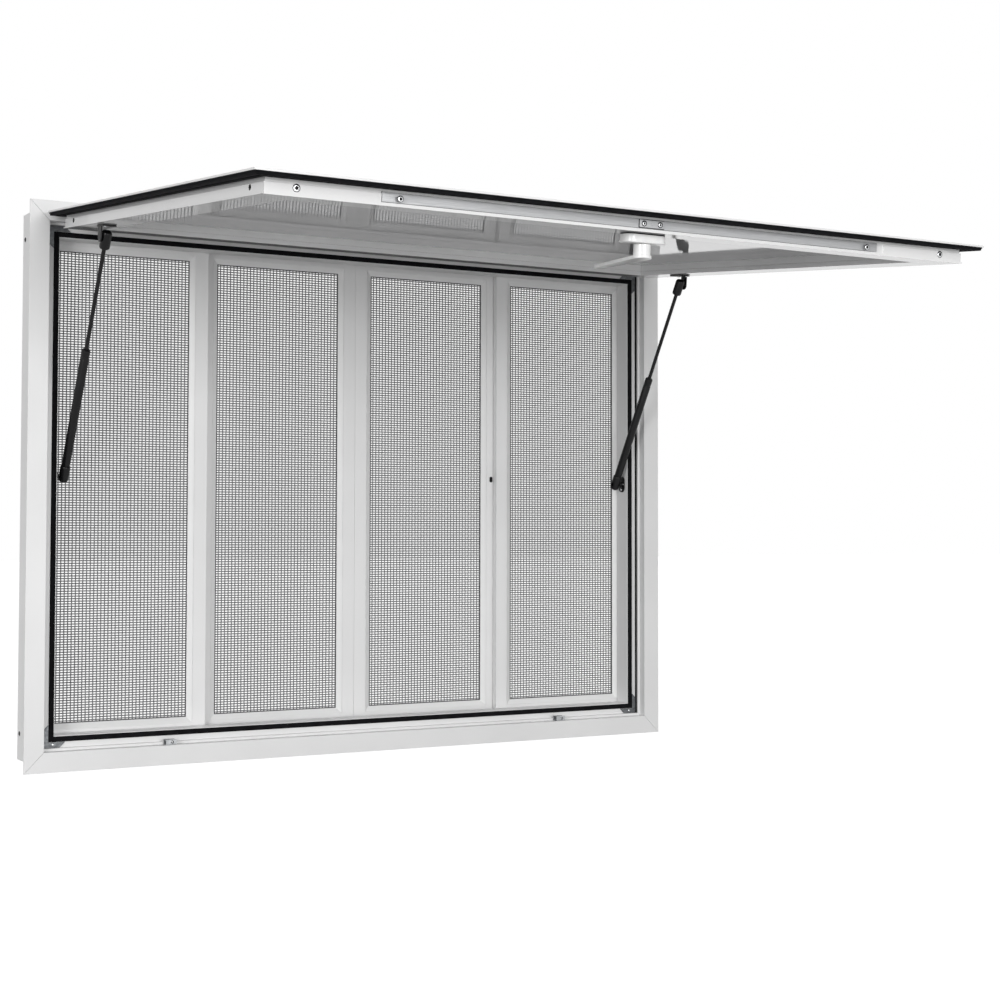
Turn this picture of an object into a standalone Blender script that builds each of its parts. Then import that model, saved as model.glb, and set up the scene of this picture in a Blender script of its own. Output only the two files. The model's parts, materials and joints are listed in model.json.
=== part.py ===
# Concession window: a flanged aluminium frame with four insect screens, and an awning
# that hangs from its head on two gas struts and locks with a lever and a sliding bar.
# Metres, +Z up. X runs along the width and Y into the wall. The origin lies on the back
# of the bottom flange, halfway along it. The awning is shown open.

import math

import bmesh
import bpy
from mathutils import Matrix, Vector

# General clearances
JOINT_GAP = 0.0003
MITRE_GAP = 0.00022
SLIDING_GAP = 0.0004

# Wall frame: one extrusion, mitred at the four corners
FRAME_WIDTH = 1.2192
FRAME_HEIGHT = 0.9144
FRAME_WALL = 0.002
FLANGE_OVERHANG = 0.0135
FLANGE_WIDTH = 0.0322
BOX_DEPTH = 0.0865
REVEAL_DEPTH = 0.014
REVEAL_STEP = 0.004
SEAT_DEPTH = 0.022
SEAT_EDGE = 0.0554
POCKET_FRONT = 0.056
TRACK_FLOOR = 0.0295
FIN_THICKNESS = 0.0014
FIN_HEIGHT = 0.012

# Rubber gasket that the awning closes on
GASKET_INSET = 0.0458
GASKET_WIDTH = 0.0084
GASKET_HEIGHT = 0.0027

# Corner plates in the rebate
PLATE_THICKNESS = 0.0016
PLATE_ARM = 0.0275
PLATE_MARGIN = 0.0004

# Screen sashes: the outer two run in front of the inner two
SASH_FRONT = 0.058
SASH_DEPTH = 0.011
SASH_SPACING = 0.014
SASH_RAIL = 0.0324
SASH_BEVEL_WIDTH = 0.009
SASH_BEVEL_DEPTH = 0.0048
SASH_GROOVE_WIDTH = 0.0009
SASH_GROOVE_DEPTH = 0.0007
SASH_OVERLAP = 0.0092
SASH_SIDE_GAP = 0.001
SASH_END_INSET = 0.0376
RUNNER_WIDTH = 0.022
RUNNER_THICKNESS = 0.006
RUNNER_MARGIN = 0.030
SCREEN_SLOT_DEPTH = 0.003
SCREEN_SLOT_WIDTH = 0.002
SCREEN_THICKNESS = 0.001
SCREEN_SETBACK = 0.006
SCREEN_BAR = 0.008
SCREEN_COLUMNS = 10
SCREEN_ROWS = 8
SASH_LOCK_HEIGHT = 0.0105
SASH_LOCK_WIDTH = 0.0055
SASH_LOCK_RISE = 0.0012
SASH_LOCK_LEVEL = 0.473
SASH_LOCK_MARGIN = 0.0133

# Awning hinge: a bead on the awning turns in an open channel on the head
OPENING_ANGLE = math.radians(84.7)
HINGE_DROP = 0.0207
HINGE_STANDOFF = 0.0077
HINGE_SIDE_INSET = 0.044
BEAD_RADIUS = 0.0026
CHANNEL_RADIUS = 0.0029
CHANNEL_WALL = 0.002
CHANNEL_START = math.radians(-64.0)
CHANNEL_END = math.radians(180.0)
WEB_ANGLE = math.radians(25.0)
RAIL_PLATE = 0.0015
RAIL_ABOVE = 0.008
RAIL_BELOW = 0.0045
NECK_THICKNESS = 0.001
LEAF_LENGTH = 0.026

# Awning
SKIN_SIDE_INSET = 0.0248
SKIN_FRONT_INSET = 0.0191
SKIN_LENGTH = FRAME_HEIGHT - HINGE_DROP - SKIN_FRONT_INSET
SKIN_START = 0.0056
SHEET_THICKNESS = 0.0012
SKIN_RISE = 0.0015
HEM_WIDTH = 0.0185
HEM_DEPTH = 0.0012
SEAL_INSET = 0.0015
SEAL_WIDTH = 0.020
SEAL_HEIGHT = 0.0047
RAIL_SIDE_INSET = 0.047
RAIL_BACK = 0.028
RAIL_FRONT_SETBACK = 0.0241
RAIL_FRONT = SKIN_LENGTH - RAIL_FRONT_SETBACK
RAIL_WIDTH = 0.050
RAIL_DEPTH = 0.026
RAIL_WALL = 0.0018
RAIL_LIP = 0.002
RAIL_SHOULDER = 0.011
RAIL_SHOULDER_SET = 0.0015
RAIL_GROOVE_LEVEL = 0.0183
RAIL_GROOVE_SIZE = 0.0015
PANEL_THICKNESS = 0.0075

# Sliding lock bar in the front edge of the awning
LOCK_CENTRE = -0.005
LOCK_LEVEL = 0.0165
LOCK_BAR_LEVEL = 0.0152
LOCK_WIDTH = 0.0124
LOCK_THICKNESS = 0.0022
LOCK_RISE = 0.0012
LOCK_HALF_LENGTH = 0.401
LOCK_TRAVEL = 0.014
CAM_END_MARGIN = 0.023
CAM_REACH = LOCK_HALF_LENGTH - CAM_END_MARGIN
CAM_STEM_RADIUS = 0.0025
CAM_STEM_LENGTH = 0.0042
CAM_HEAD_RADIUS = 0.0043
CAM_HEAD_HEIGHT = 0.0018
LOCK_PLATE_CENTRE = -0.0024
LOCK_PLATE_LENGTH = 0.0403
LOCK_PLATE_WIDTH = 0.0102
LOCK_PLATE_THICKNESS = 0.0015

# Keepers on the sill, one under each cam
KEEPER_LENGTH = 0.018
KEEPER_WALL = 0.0015
KEEPER_LIP = 0.0012
KEEPER_CLEARANCE = 0.0007

# Lever handle under the awning
HANDLE_CENTRE = 0.008
HANDLE_BASE_LENGTH = 0.067
HANDLE_BASE_WIDTH = 0.033
HANDLE_BASE_HEIGHT = 0.013
HANDLE_BASE_ROUND = 0.011
HANDLE_FROM_EDGE = 0.0338
NECK_RADIUS = 0.012
NECK_HEIGHT = 0.0155
LEVER_LENGTH = 0.104
LEVER_DROP = 0.009
LEVER_THICKNESS = 0.005
LEVER_ROOT_RADIUS = 0.0135
LEVER_TIP_RADIUS = 0.0085
EDGE_BEVEL = 0.0012

# Gas struts: a rod on the awning runs in a cylinder that stands on the jamb
STRUT_INSET = 0.0713
STRUT_TOP_REACH = 0.1668
STRUT_TOP_DROP = 0.0440
STRUT_FOOT_DEPTH = 0.0385
STRUT_FOOT_HEIGHT = 0.4669
SOCKET_RADIUS = 0.0082
SOCKET_BACK = 0.010
SOCKET_FRONT = 0.019
SOCKET_ROUND = 0.003
ROD_RADIUS = 0.0032
CYLINDER_RADIUS = 0.007
CYLINDER_LENGTH = 0.2275
CYLINDER_END_SETBACK = 0.012
ROD_OVERLAP = 0.020
STUD_RADIUS = 0.0035
BRACKET_THICKNESS = 0.002
EAR_THICKNESS = 0.002
EAR_RADIUS = 0.008
TOP_PLATE_LENGTH = 0.036
TOP_PLATE_WIDTH = 0.022
FOOT_PLATE_HEIGHT = 0.030
FOOT_PLATE_WIDTH = 0.018
FOOT_COLLAR_RADIUS = 0.0072
FOOT_COLLAR_LENGTH = 0.0025

ARC_STEPS = 8
ROUND_SIDES = 32

# Places worked out from the sizes above
FRAME_BOTTOM = -FLANGE_OVERHANG / 2
FRAME_CENTRE_Z = FRAME_BOTTOM + FRAME_HEIGHT / 2
HALF_WIDTH = FRAME_WIDTH / 2
HALF_HEIGHT = FRAME_HEIGHT / 2
FLANGE_FACE = -FRAME_WALL
HINGE_Y = FLANGE_FACE - HINGE_STANDOFF
HINGE_Z = FRAME_BOTTOM + FRAME_HEIGHT - HINGE_DROP
SIDES = ("head", "sill", "left", "right")
CORNERS = ((-1, -1), (1, -1), (1, 1), (-1, 1))


def clear_scene():
    for obj in list(bpy.data.objects):
        bpy.data.objects.remove(obj, do_unlink=True)


def make_material(name, color, roughness, metallic, alpha=1.0):
    material = bpy.data.materials.new(name)
    material.use_nodes = True
    shader = material.node_tree.nodes["Principled BSDF"]
    shader.inputs["Base Color"].default_value = (*color, 1.0)
    shader.inputs["Roughness"].default_value = roughness
    shader.inputs["Metallic"].default_value = metallic
    shader.inputs["Alpha"].default_value = alpha
    return material


def make_empty(name, location, parent=None):
    empty = bpy.data.objects.new(name, None)
    bpy.context.scene.collection.objects.link(empty)
    empty.parent = parent
    empty.location = location
    return empty


def make_object(name, bm, material, parent=None):
    bmesh.ops.recalc_face_normals(bm, faces=bm.faces)
    mesh = bpy.data.meshes.new(name)
    bm.to_mesh(mesh)
    bm.free()
    mesh.materials.append(material)
    obj = bpy.data.objects.new(name, mesh)
    bpy.context.scene.collection.objects.link(obj)
    obj.parent = parent
    return obj


def use_as_cutter(target, cutter, operation="DIFFERENCE"):
    """Cuts the helper from the target, or joins it to the target, and hides the helper."""
    modifier = target.modifiers.new(cutter.name, "BOOLEAN")
    modifier.operation = operation
    modifier.solver = "EXACT"
    modifier.object = cutter
    cutter.hide_render = True
    cutter.display_type = "WIRE"


def arc(centre, radius, start, end, steps=ARC_STEPS):
    """Points on an arc in a plane, both ends included."""
    points = []
    for step in range(steps + 1):
        angle = start + (end - start) * step / steps
        points.append((centre[0] + radius * math.cos(angle), centre[1] + radius * math.sin(angle)))
    return points


def skin_sections(bm, rings, closed_loop):
    """Joins rings of vertices with quads, and caps the ends unless they form a closed loop."""
    count = len(rings[0])
    pairs = list(zip(rings, rings[1:]))
    if closed_loop:
        pairs.append((rings[-1], rings[0]))
    for first, second in pairs:
        for index in range(count):
            after = (index + 1) % count
            bm.faces.new((first[index], first[after], second[after], second[index]))
    if not closed_loop:
        bm.faces.new(rings[0][::-1])
        bm.faces.new(rings[-1])


def extrusion(name, outline, low, high, place, material, parent=None):
    """Pushes an outline from low to high; place turns (along, u, v) into a point."""
    bm = bmesh.new()
    rings = [[bm.verts.new(place(along, u, v)) for u, v in outline] for along in (low, high)]
    skin_sections(bm, rings, closed_loop=False)
    return make_object(name, bm, material, parent)


def along_x(along, u, v):
    return Vector((along, u, v))


def along_y(along, u, v):
    return Vector((u, along, v))


def along_z(along, u, v):
    return Vector((u, v, along))


def box_outline(u_low, u_high, v_low, v_high):
    return [(u_low, v_low), (u_high, v_low), (u_high, v_high), (u_low, v_high)]


def corner_ring(bm, outline, corner, centre, half, pull=(0.0, 0.0)):
    """The outline of (inset, depth) points, laid on the mitre of one corner of a rectangle."""
    ring = []
    for inset, depth in outline:
        x = centre[0] + corner[0] * (half[0] - inset - pull[0])
        z = centre[1] + corner[1] * (half[1] - inset - pull[1])
        ring.append(bm.verts.new((x, depth, z)))
    return ring


def mitred_bar(name, outline, side, centre, half, material, parent=None, gap=MITRE_GAP):
    """One side of a rectangular frame, with mitred ends."""
    ends = {
        "sill": ((-1, -1), (1, -1)),
        "head": ((1, 1), (-1, 1)),
        "right": ((1, -1), (1, 1)),
        "left": ((-1, 1), (-1, -1)),
    }[side]
    pull = (gap, 0.0) if side in ("sill", "head") else (0.0, gap)
    bm = bmesh.new()
    rings = [corner_ring(bm, outline, corner, centre, half, pull) for corner in ends]
    skin_sections(bm, rings, closed_loop=False)
    return make_object(name, bm, material, parent)


def hollow_bar(name, outline, hollow, side, centre, half, material, parent=None):
    """A mitred bar with a cavity that runs through both of its ends."""
    bar = mitred_bar(name, outline, side, centre, half, material, parent)
    cutter = mitred_bar(f"{name}_cavity", hollow, side, centre, half, material, parent, gap=-RAIL_WIDTH)
    use_as_cutter(bar, cutter)
    return bar


def closed_ring(name, outline, centre, half, material, parent=None):
    """A whole rectangular frame in one piece."""
    bm = bmesh.new()
    rings = [corner_ring(bm, outline, corner, centre, half) for corner in CORNERS]
    skin_sections(bm, rings, closed_loop=True)
    return make_object(name, bm, material, parent)


def bar_lines(start, end, count):
    """Both edges of every bar, with a given number of openings between the bars."""
    pitch = (end - start - SCREEN_BAR) / count
    lines = []
    for index in range(count + 1):
        lines += [start + pitch * index, start + pitch * index + SCREEN_BAR]
    return lines


def lattice(name, x_range, z_range, low, high, material):
    """A flat grid of bars with open cells between them, from low to high in Y."""
    across = bar_lines(*x_range, SCREEN_COLUMNS)
    up = bar_lines(*z_range, SCREEN_ROWS)

    def is_solid(i, j):
        inside = 0 <= i < len(across) - 1 and 0 <= j < len(up) - 1
        return inside and not (i % 2 and j % 2)

    bm = bmesh.new()
    grid = {}
    for side, depth in enumerate((low, high)):
        for i, x in enumerate(across):
            for j, z in enumerate(up):
                grid[side, i, j] = bm.verts.new((x, depth, z))
    for i in range(len(across) - 1):
        for j in range(len(up) - 1):
            if not is_solid(i, j):
                continue
            for side in (0, 1):
                corners = ((i, j), (i + 1, j), (i + 1, j + 1), (i, j + 1))
                bm.faces.new([grid[(side, *corner)] for corner in corners])
            walls = (
                ((i - 1, j), (i, j), (i, j + 1)),
                ((i + 1, j), (i + 1, j), (i + 1, j + 1)),
                ((i, j - 1), (i, j), (i + 1, j)),
                ((i, j + 1), (i, j + 1), (i + 1, j + 1)),
            )
            for neighbour, first, second in walls:
                if not is_solid(*neighbour):
                    ring = ((0, *first), (0, *second), (1, *second), (1, *first))
                    bm.faces.new([grid[key] for key in ring])
    return make_object(name, bm, material)


def rod_shape(name, stations, centre, direction, material, parent=None, sides=ROUND_SIDES):
    """A turned piece: stations are (distance, radius) along the direction from the centre."""
    turn = Vector((0, 0, 1)).rotation_difference(Vector(direction)).to_matrix()
    bm = bmesh.new()
    rings = []
    for distance, radius in stations:
        ring = []
        for step in range(sides):
            angle = 2 * math.pi * step / sides
            local = Vector((radius * math.cos(angle), radius * math.sin(angle), distance))
            ring.append(bm.verts.new(Vector(centre) + turn @ local))
        rings.append(ring)
    skin_sections(bm, rings, closed_loop=False)
    return make_object(name, bm, material, parent)


def bevel_edges(obj, width, segments=2, angle=math.radians(40)):
    modifier = obj.modifiers.new("rounding", "BEVEL")
    modifier.width = width
    modifier.segments = segments
    modifier.limit_method = "ANGLE"
    modifier.angle_limit = angle


def frame_outline():
    """Section of the wall frame as (inset from the outer edge, depth from the wall)."""
    step_inset = FLANGE_WIDTH + REVEAL_STEP
    outline = [
        (0.0, FLANGE_FACE),
        (FLANGE_WIDTH, FLANGE_FACE),
        (FLANGE_WIDTH, REVEAL_DEPTH),
        (step_inset, REVEAL_DEPTH),
        (step_inset, SEAT_DEPTH),
        (SEAT_EDGE, SEAT_DEPTH),
        (SEAT_EDGE, POCKET_FRONT),
        (TRACK_FLOOR, POCKET_FRONT),
    ]
    for fin in track_fins():
        outline += [
            (TRACK_FLOOR, fin),
            (TRACK_FLOOR + FIN_HEIGHT, fin),
            (TRACK_FLOOR + FIN_HEIGHT, fin + FIN_THICKNESS),
            (TRACK_FLOOR, fin + FIN_THICKNESS),
        ]
    outline += [
        (TRACK_FLOOR, BOX_DEPTH),
        (FLANGE_OVERHANG, BOX_DEPTH),
        (FLANGE_OVERHANG, 0.0),
        (0.0, 0.0),
    ]
    return outline


def track_fins():
    """Depth of the front face of each fin: between and behind the sashes."""
    first = SASH_FRONT + (SASH_SPACING + SASH_DEPTH - FIN_THICKNESS) / 2
    return [first, first + SASH_SPACING]


def frame_cavity():
    """The hollow of that section, one wall thickness inside it."""
    wall = FRAME_WALL
    step_inset = FLANGE_WIDTH + REVEAL_STEP - wall
    return [
        (FLANGE_OVERHANG + wall, 0.0),
        (FLANGE_WIDTH - wall, 0.0),
        (FLANGE_WIDTH - wall, REVEAL_DEPTH + wall),
        (step_inset, REVEAL_DEPTH + wall),
        (step_inset, SEAT_DEPTH + wall),
        (SEAT_EDGE - wall, SEAT_DEPTH + wall),
        (SEAT_EDGE - wall, POCKET_FRONT - wall),
        (TRACK_FLOOR - wall, POCKET_FRONT - wall),
        (TRACK_FLOOR - wall, BOX_DEPTH - wall),
        (FLANGE_OVERHANG + wall, BOX_DEPTH - wall),
    ]


def build_frame(materials):
    centre = (0.0, FRAME_CENTRE_Z)
    half = (HALF_WIDTH, HALF_HEIGHT)
    names = {"head": "frame_head", "sill": "frame_sill", "left": "frame_left_jamb", "right": "frame_right_jamb"}
    for side in SIDES:
        hollow_bar(names[side], frame_outline(), frame_cavity(), side, centre, half, materials["paint"])
    base = SEAT_DEPTH - JOINT_GAP
    bulb = []
    for step in range(ARC_STEPS + 1):
        angle = math.pi * step / ARC_STEPS
        across = GASKET_WIDTH / 2 * (1 - math.cos(angle))
        bulb.append((GASKET_INSET + across, base - GASKET_HEIGHT * math.sin(angle) ** 0.7))
    closed_ring("frame_gasket", bulb, centre, half, materials["rubber"])
    build_corner_plates(materials)


def build_corner_plates(materials):
    """An angle plate screwed across each mitre, in the strip outside the gasket."""
    low = FLANGE_WIDTH + REVEAL_STEP + PLATE_MARGIN
    high = GASKET_INSET - PLATE_MARGIN
    outer = low + PLATE_ARM
    inner = outer + (high - low)
    shape = [(low, low), (outer, low), (inner, high), (high, high), (high, inner), (low, outer)]
    front = SEAT_DEPTH - JOINT_GAP - PLATE_THICKNESS
    back = SEAT_DEPTH - JOINT_GAP
    labels = ("sill_left", "sill_right", "head_right", "head_left")
    for label, corner in zip(labels, CORNERS):
        outline = []
        for along, inset in shape:
            x = corner[0] * (HALF_WIDTH - along)
            z = FRAME_CENTRE_Z + corner[1] * (HALF_HEIGHT - inset)
            outline.append((x, z))
        extrusion(f"corner_plate_{label}", outline, front, back, along_y, materials["zinc"])


def sash_outline(front):
    """Section of a sash as (inset, depth): a flat, a groove, a bevel and a slot for the screen."""
    slot = front + SCREEN_SETBACK
    back = front + SASH_DEPTH
    flat = SASH_RAIL - SASH_BEVEL_WIDTH
    return [
        (0.0, front),
        (flat - SASH_GROOVE_WIDTH, front),
        (flat - SASH_GROOVE_WIDTH, front + SASH_GROOVE_DEPTH),
        (flat, front + SASH_GROOVE_DEPTH),
        (flat, front),
        (SASH_RAIL, front + SASH_BEVEL_DEPTH),
        (SASH_RAIL, slot),
        (SASH_RAIL - SCREEN_SLOT_DEPTH, slot),
        (SASH_RAIL - SCREEN_SLOT_DEPTH, slot + SCREEN_SLOT_WIDTH),
        (SASH_RAIL, slot + SCREEN_SLOT_WIDTH),
        (SASH_RAIL, back),
        (0.0, back),
    ]


def build_sashes(materials):
    edge = HALF_WIDTH - TRACK_FLOOR - SASH_SIDE_GAP
    width = (edge + SASH_OVERLAP - JOINT_GAP / 2) / 2
    half_height = HALF_HEIGHT - SASH_END_INSET
    centres = (-edge + width / 2, -JOINT_GAP / 2 - width / 2, JOINT_GAP / 2 + width / 2, edge - width / 2)
    half = (width / 2, half_height)
    for index, x in enumerate(centres, start=1):
        front = SASH_FRONT if index in (1, 4) else SASH_FRONT + SASH_SPACING
        sash = closed_ring(f"sash_{index}", sash_outline(front), (x, FRAME_CENTRE_Z), half, materials["paint"])
        add_runners(sash, x, front, half, materials)
        reach = SASH_RAIL - SCREEN_SLOT_DEPTH + JOINT_GAP
        x_range = (x - half[0] + reach, x + half[0] - reach)
        z_range = (FRAME_CENTRE_Z - half[1] + reach, FRAME_CENTRE_Z + half[1] - reach)
        middle = front + SCREEN_SETBACK + SCREEN_SLOT_WIDTH / 2
        low = middle - SCREEN_THICKNESS / 2
        lattice(f"screen_{index}", x_range, z_range, low, low + SCREEN_THICKNESS, materials["mesh"])
    lock_x = JOINT_GAP / 2 + width - SASH_LOCK_MARGIN
    face = SASH_FRONT + SASH_SPACING - JOINT_GAP
    radius = SASH_LOCK_WIDTH / 2
    straight = SASH_LOCK_HEIGHT / 2 - radius
    oval = arc((lock_x, SASH_LOCK_LEVEL + straight), radius, 0.0, math.pi)
    oval += arc((lock_x, SASH_LOCK_LEVEL - straight), radius, math.pi, 2 * math.pi)
    extrusion("sash_lock", oval, face - SASH_LOCK_RISE, face, along_y, materials["black"])


def add_runners(sash, x, front, half, materials):
    """Two round-nosed runners under the bottom rail, which carry the sash on the track floor."""
    floor = FRAME_BOTTOM + TRACK_FLOOR + SLIDING_GAP
    top = FRAME_CENTRE_Z - half[1] + SASH_RAIL / 2
    middle = front + SASH_DEPTH / 2
    low = middle - RUNNER_THICKNESS / 2
    radius = RUNNER_WIDTH / 2
    for label, side in (("left", -1), ("right", 1)):
        centre = x + side * (half[0] - RUNNER_MARGIN)
        nose = [(centre + u * radius, floor + v * radius) for u, v in ((-1, 0.35), (-0.6, 0.0), (0.6, 0.0), (1, 0.35))]
        outline = nose + [(centre + radius, top), (centre - radius, top)]
        name = f"{sash.name}_runner_{label}"
        runner = extrusion(name, outline, low, low + RUNNER_THICKNESS, along_y, materials["paint"])
        use_as_cutter(sash, runner, "UNION")


def build_hinge_rail(materials):
    """The open channel on the head: a plate on the flange, a web and a round channel."""
    plate_back = HINGE_STANDOFF - JOINT_GAP
    plate_front = plate_back - RAIL_PLATE
    outer = CHANNEL_RADIUS + CHANNEL_WALL
    web = outer * math.sin(WEB_ANGLE)
    section = [(plate_back, -RAIL_BELOW), (plate_back, RAIL_ABOVE), (plate_front, RAIL_ABOVE), (plate_front, web)]
    section += arc((0.0, 0.0), outer, WEB_ANGLE, CHANNEL_END, 14)
    section += arc((0.0, 0.0), CHANNEL_RADIUS, CHANNEL_END, CHANNEL_START, 18)
    section += arc((0.0, 0.0), outer, CHANNEL_START, -WEB_ANGLE, 4)
    section += [(plate_front, -web), (plate_front, -RAIL_BELOW)]
    placed = [(HINGE_Y + y, HINGE_Z + z) for y, z in section]
    reach = HALF_WIDTH - HINGE_SIDE_INSET
    extrusion("hinge_rail", placed, -reach, reach, along_x, materials["paint"])


def build_keepers(materials):
    """A lipped channel on the sill beside each cam, open at the end that the cam slides in from."""
    sill = FRAME_BOTTOM + FLANGE_WIDTH + JOINT_GAP
    floor = sill + KEEPER_WALL
    middle = HINGE_Y + LOCK_LEVEL
    slot = CAM_STEM_RADIUS + KEEPER_CLEARANCE
    inside = CAM_HEAD_RADIUS + KEEPER_CLEARANCE
    outside = inside + KEEPER_WALL
    under_lip = HINGE_Z - RAIL_FRONT - CAM_STEM_LENGTH + KEEPER_CLEARANCE
    top = under_lip + KEEPER_LIP
    half = [(outside, sill), (outside, top), (slot, top), (slot, under_lip), (inside, under_lip), (inside, floor)]
    section = [(middle + across, up) for across, up in half]
    section += [(middle - across, up) for across, up in reversed(half)]
    for label, side in (("left", -1), ("right", 1)):
        locked = LOCK_CENTRE + side * CAM_REACH + LOCK_TRAVEL
        low = locked - CAM_HEAD_RADIUS - KEEPER_CLEARANCE
        extrusion(f"keeper_{label}", section, low, low + KEEPER_LENGTH, along_x, materials["zinc"])


def build_awning(materials, hinge):
    """Built hanging shut from the hinge axis: Y is depth below the skin's middle, Z is minus the reach."""
    build_skin(materials, hinge)
    centre = (0.0, -(RAIL_BACK + RAIL_FRONT) / 2)
    half = (HALF_WIDTH - RAIL_SIDE_INSET, (RAIL_FRONT - RAIL_BACK) / 2)
    names = {"head": "awning_back_rail", "sill": "awning_front_rail", "left": "awning_left_rail"}
    names["right"] = "awning_right_rail"
    for side in SIDES:
        lip = RAIL_LIP if side in ("left", "right") else 0.0
        outline = rail_outline(lip)
        bar = hollow_bar(names[side], outline, rail_cavity(), side, centre, half, materials["paint"], hinge)
        if side == "sill":
            groove_front_rail(bar, materials, hinge)
    inner = RAIL_WIDTH + JOINT_GAP
    sheet = box_outline(-half[0] + inner, half[0] - inner, centre[1] - half[1] + inner, centre[1] + half[1] - inner)
    extrusion("awning_inner_panel", sheet, 0.0, PANEL_THICKNESS, along_y, materials["paint"], hinge)
    build_lock(materials, hinge)
    build_handle(materials, hinge)


def rail_outline(lip):
    """Section of an awning rail as (inset from its outer face, depth)."""
    groove = RAIL_GROOVE_LEVEL
    outline = [
        (RAIL_SHOULDER_SET, 0.0),
        (RAIL_WIDTH, 0.0),
        (RAIL_WIDTH, groove),
        (RAIL_WIDTH - RAIL_GROOVE_SIZE, groove),
        (RAIL_WIDTH - RAIL_GROOVE_SIZE, groove + RAIL_GROOVE_SIZE),
        (RAIL_WIDTH, groove + RAIL_GROOVE_SIZE),
        (RAIL_WIDTH, RAIL_DEPTH),
    ]
    if lip:
        outline += [(-lip, RAIL_DEPTH), (-lip, RAIL_DEPTH - lip), (0.0, RAIL_DEPTH - lip)]
    else:
        outline += [(0.0, RAIL_DEPTH)]
    return outline + [(0.0, RAIL_SHOULDER), (RAIL_SHOULDER_SET, RAIL_SHOULDER)]


def rail_cavity():
    outer = RAIL_SHOULDER_SET + RAIL_WALL
    inner = RAIL_WIDTH - RAIL_GROOVE_SIZE - RAIL_WALL
    return box_outline(outer, inner, RAIL_WALL, RAIL_DEPTH - RAIL_WALL)


def groove_front_rail(bar, materials, hinge):
    """A shallow groove in the front edge that the lock bar slides in."""
    half = LOCK_WIDTH / 2 + SLIDING_GAP
    depth = RAIL_FRONT + LOCK_RISE - LOCK_THICKNESS - SLIDING_GAP
    outline = box_outline(LOCK_BAR_LEVEL - half, LOCK_BAR_LEVEL + half, -RAIL_FRONT - RAIL_LIP, -depth)
    low = LOCK_CENTRE - LOCK_HALF_LENGTH - SLIDING_GAP
    high = LOCK_CENTRE + LOCK_HALF_LENGTH + LOCK_TRAVEL + SLIDING_GAP
    use_as_cutter(bar, extrusion("lock_groove", outline, low, high, along_x, materials["paint"], hinge))


def build_skin(materials, hinge):
    """A sheet with its side and front edges folded under, the hinge leaf and the edge seal."""
    reach = HALF_WIDTH - SKIN_SIDE_INSET
    plate = box_outline(-reach, reach, -SKIN_LENGTH, -SKIN_START)
    skin = extrusion("awning_skin", plate, -SKIN_RISE, HEM_DEPTH, along_y, materials["paint"], hinge)
    inside = reach - HEM_WIDTH
    recess = box_outline(-inside, inside, -SKIN_LENGTH + HEM_WIDTH, 0.0)
    sheet = -SKIN_RISE + SHEET_THICKNESS
    use_as_cutter(skin, extrusion("skin_recess", recess, sheet, RAIL_DEPTH, along_y, materials["paint"], hinge))
    build_hinge_leaf(materials, hinge)
    seal_half = (reach - SEAL_INSET, (SKIN_LENGTH - SEAL_INSET - RAIL_BELOW - HINGE_STANDOFF / 2) / 2)
    seal_back = RAIL_BELOW + HINGE_STANDOFF / 2
    seal_centre = (0.0, -(seal_back + SKIN_LENGTH - SEAL_INSET) / 2)
    top = HEM_DEPTH + JOINT_GAP
    low = top + SEAL_HEIGHT
    round_off = SEAL_HEIGHT / 3
    seal = [
        (0.0, top),
        (SEAL_WIDTH, top),
        (SEAL_WIDTH, low - round_off),
        (SEAL_WIDTH - round_off, low),
        (SEAL_WIDTH * 0.62, low),
        (SEAL_WIDTH * 0.5, low - round_off),
        (SEAL_WIDTH * 0.38, low),
        (round_off, low),
        (0.0, low - round_off),
    ]
    closed_ring("awning_seal", seal, seal_centre, seal_half, materials["rubber"], hinge)


def build_hinge_leaf(materials, hinge):
    """A bead on a thin neck, and the leaf under the skin that carries it."""
    neck_start = math.asin(NECK_THICKNESS / BEAD_RADIUS)
    section = [(0.0, -LEAF_LENGTH), (HEM_DEPTH, -LEAF_LENGTH), (HEM_DEPTH, -SKIN_START), (NECK_THICKNESS, -SKIN_START)]
    start = -math.pi / 2 + neck_start
    section += arc((0.0, 0.0), BEAD_RADIUS, start, 1.5 * math.pi, 20)
    reach = HALF_WIDTH - HINGE_SIDE_INSET
    extrusion("awning_hinge_leaf", section, -reach, reach, along_x, materials["paint"], hinge)


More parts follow.
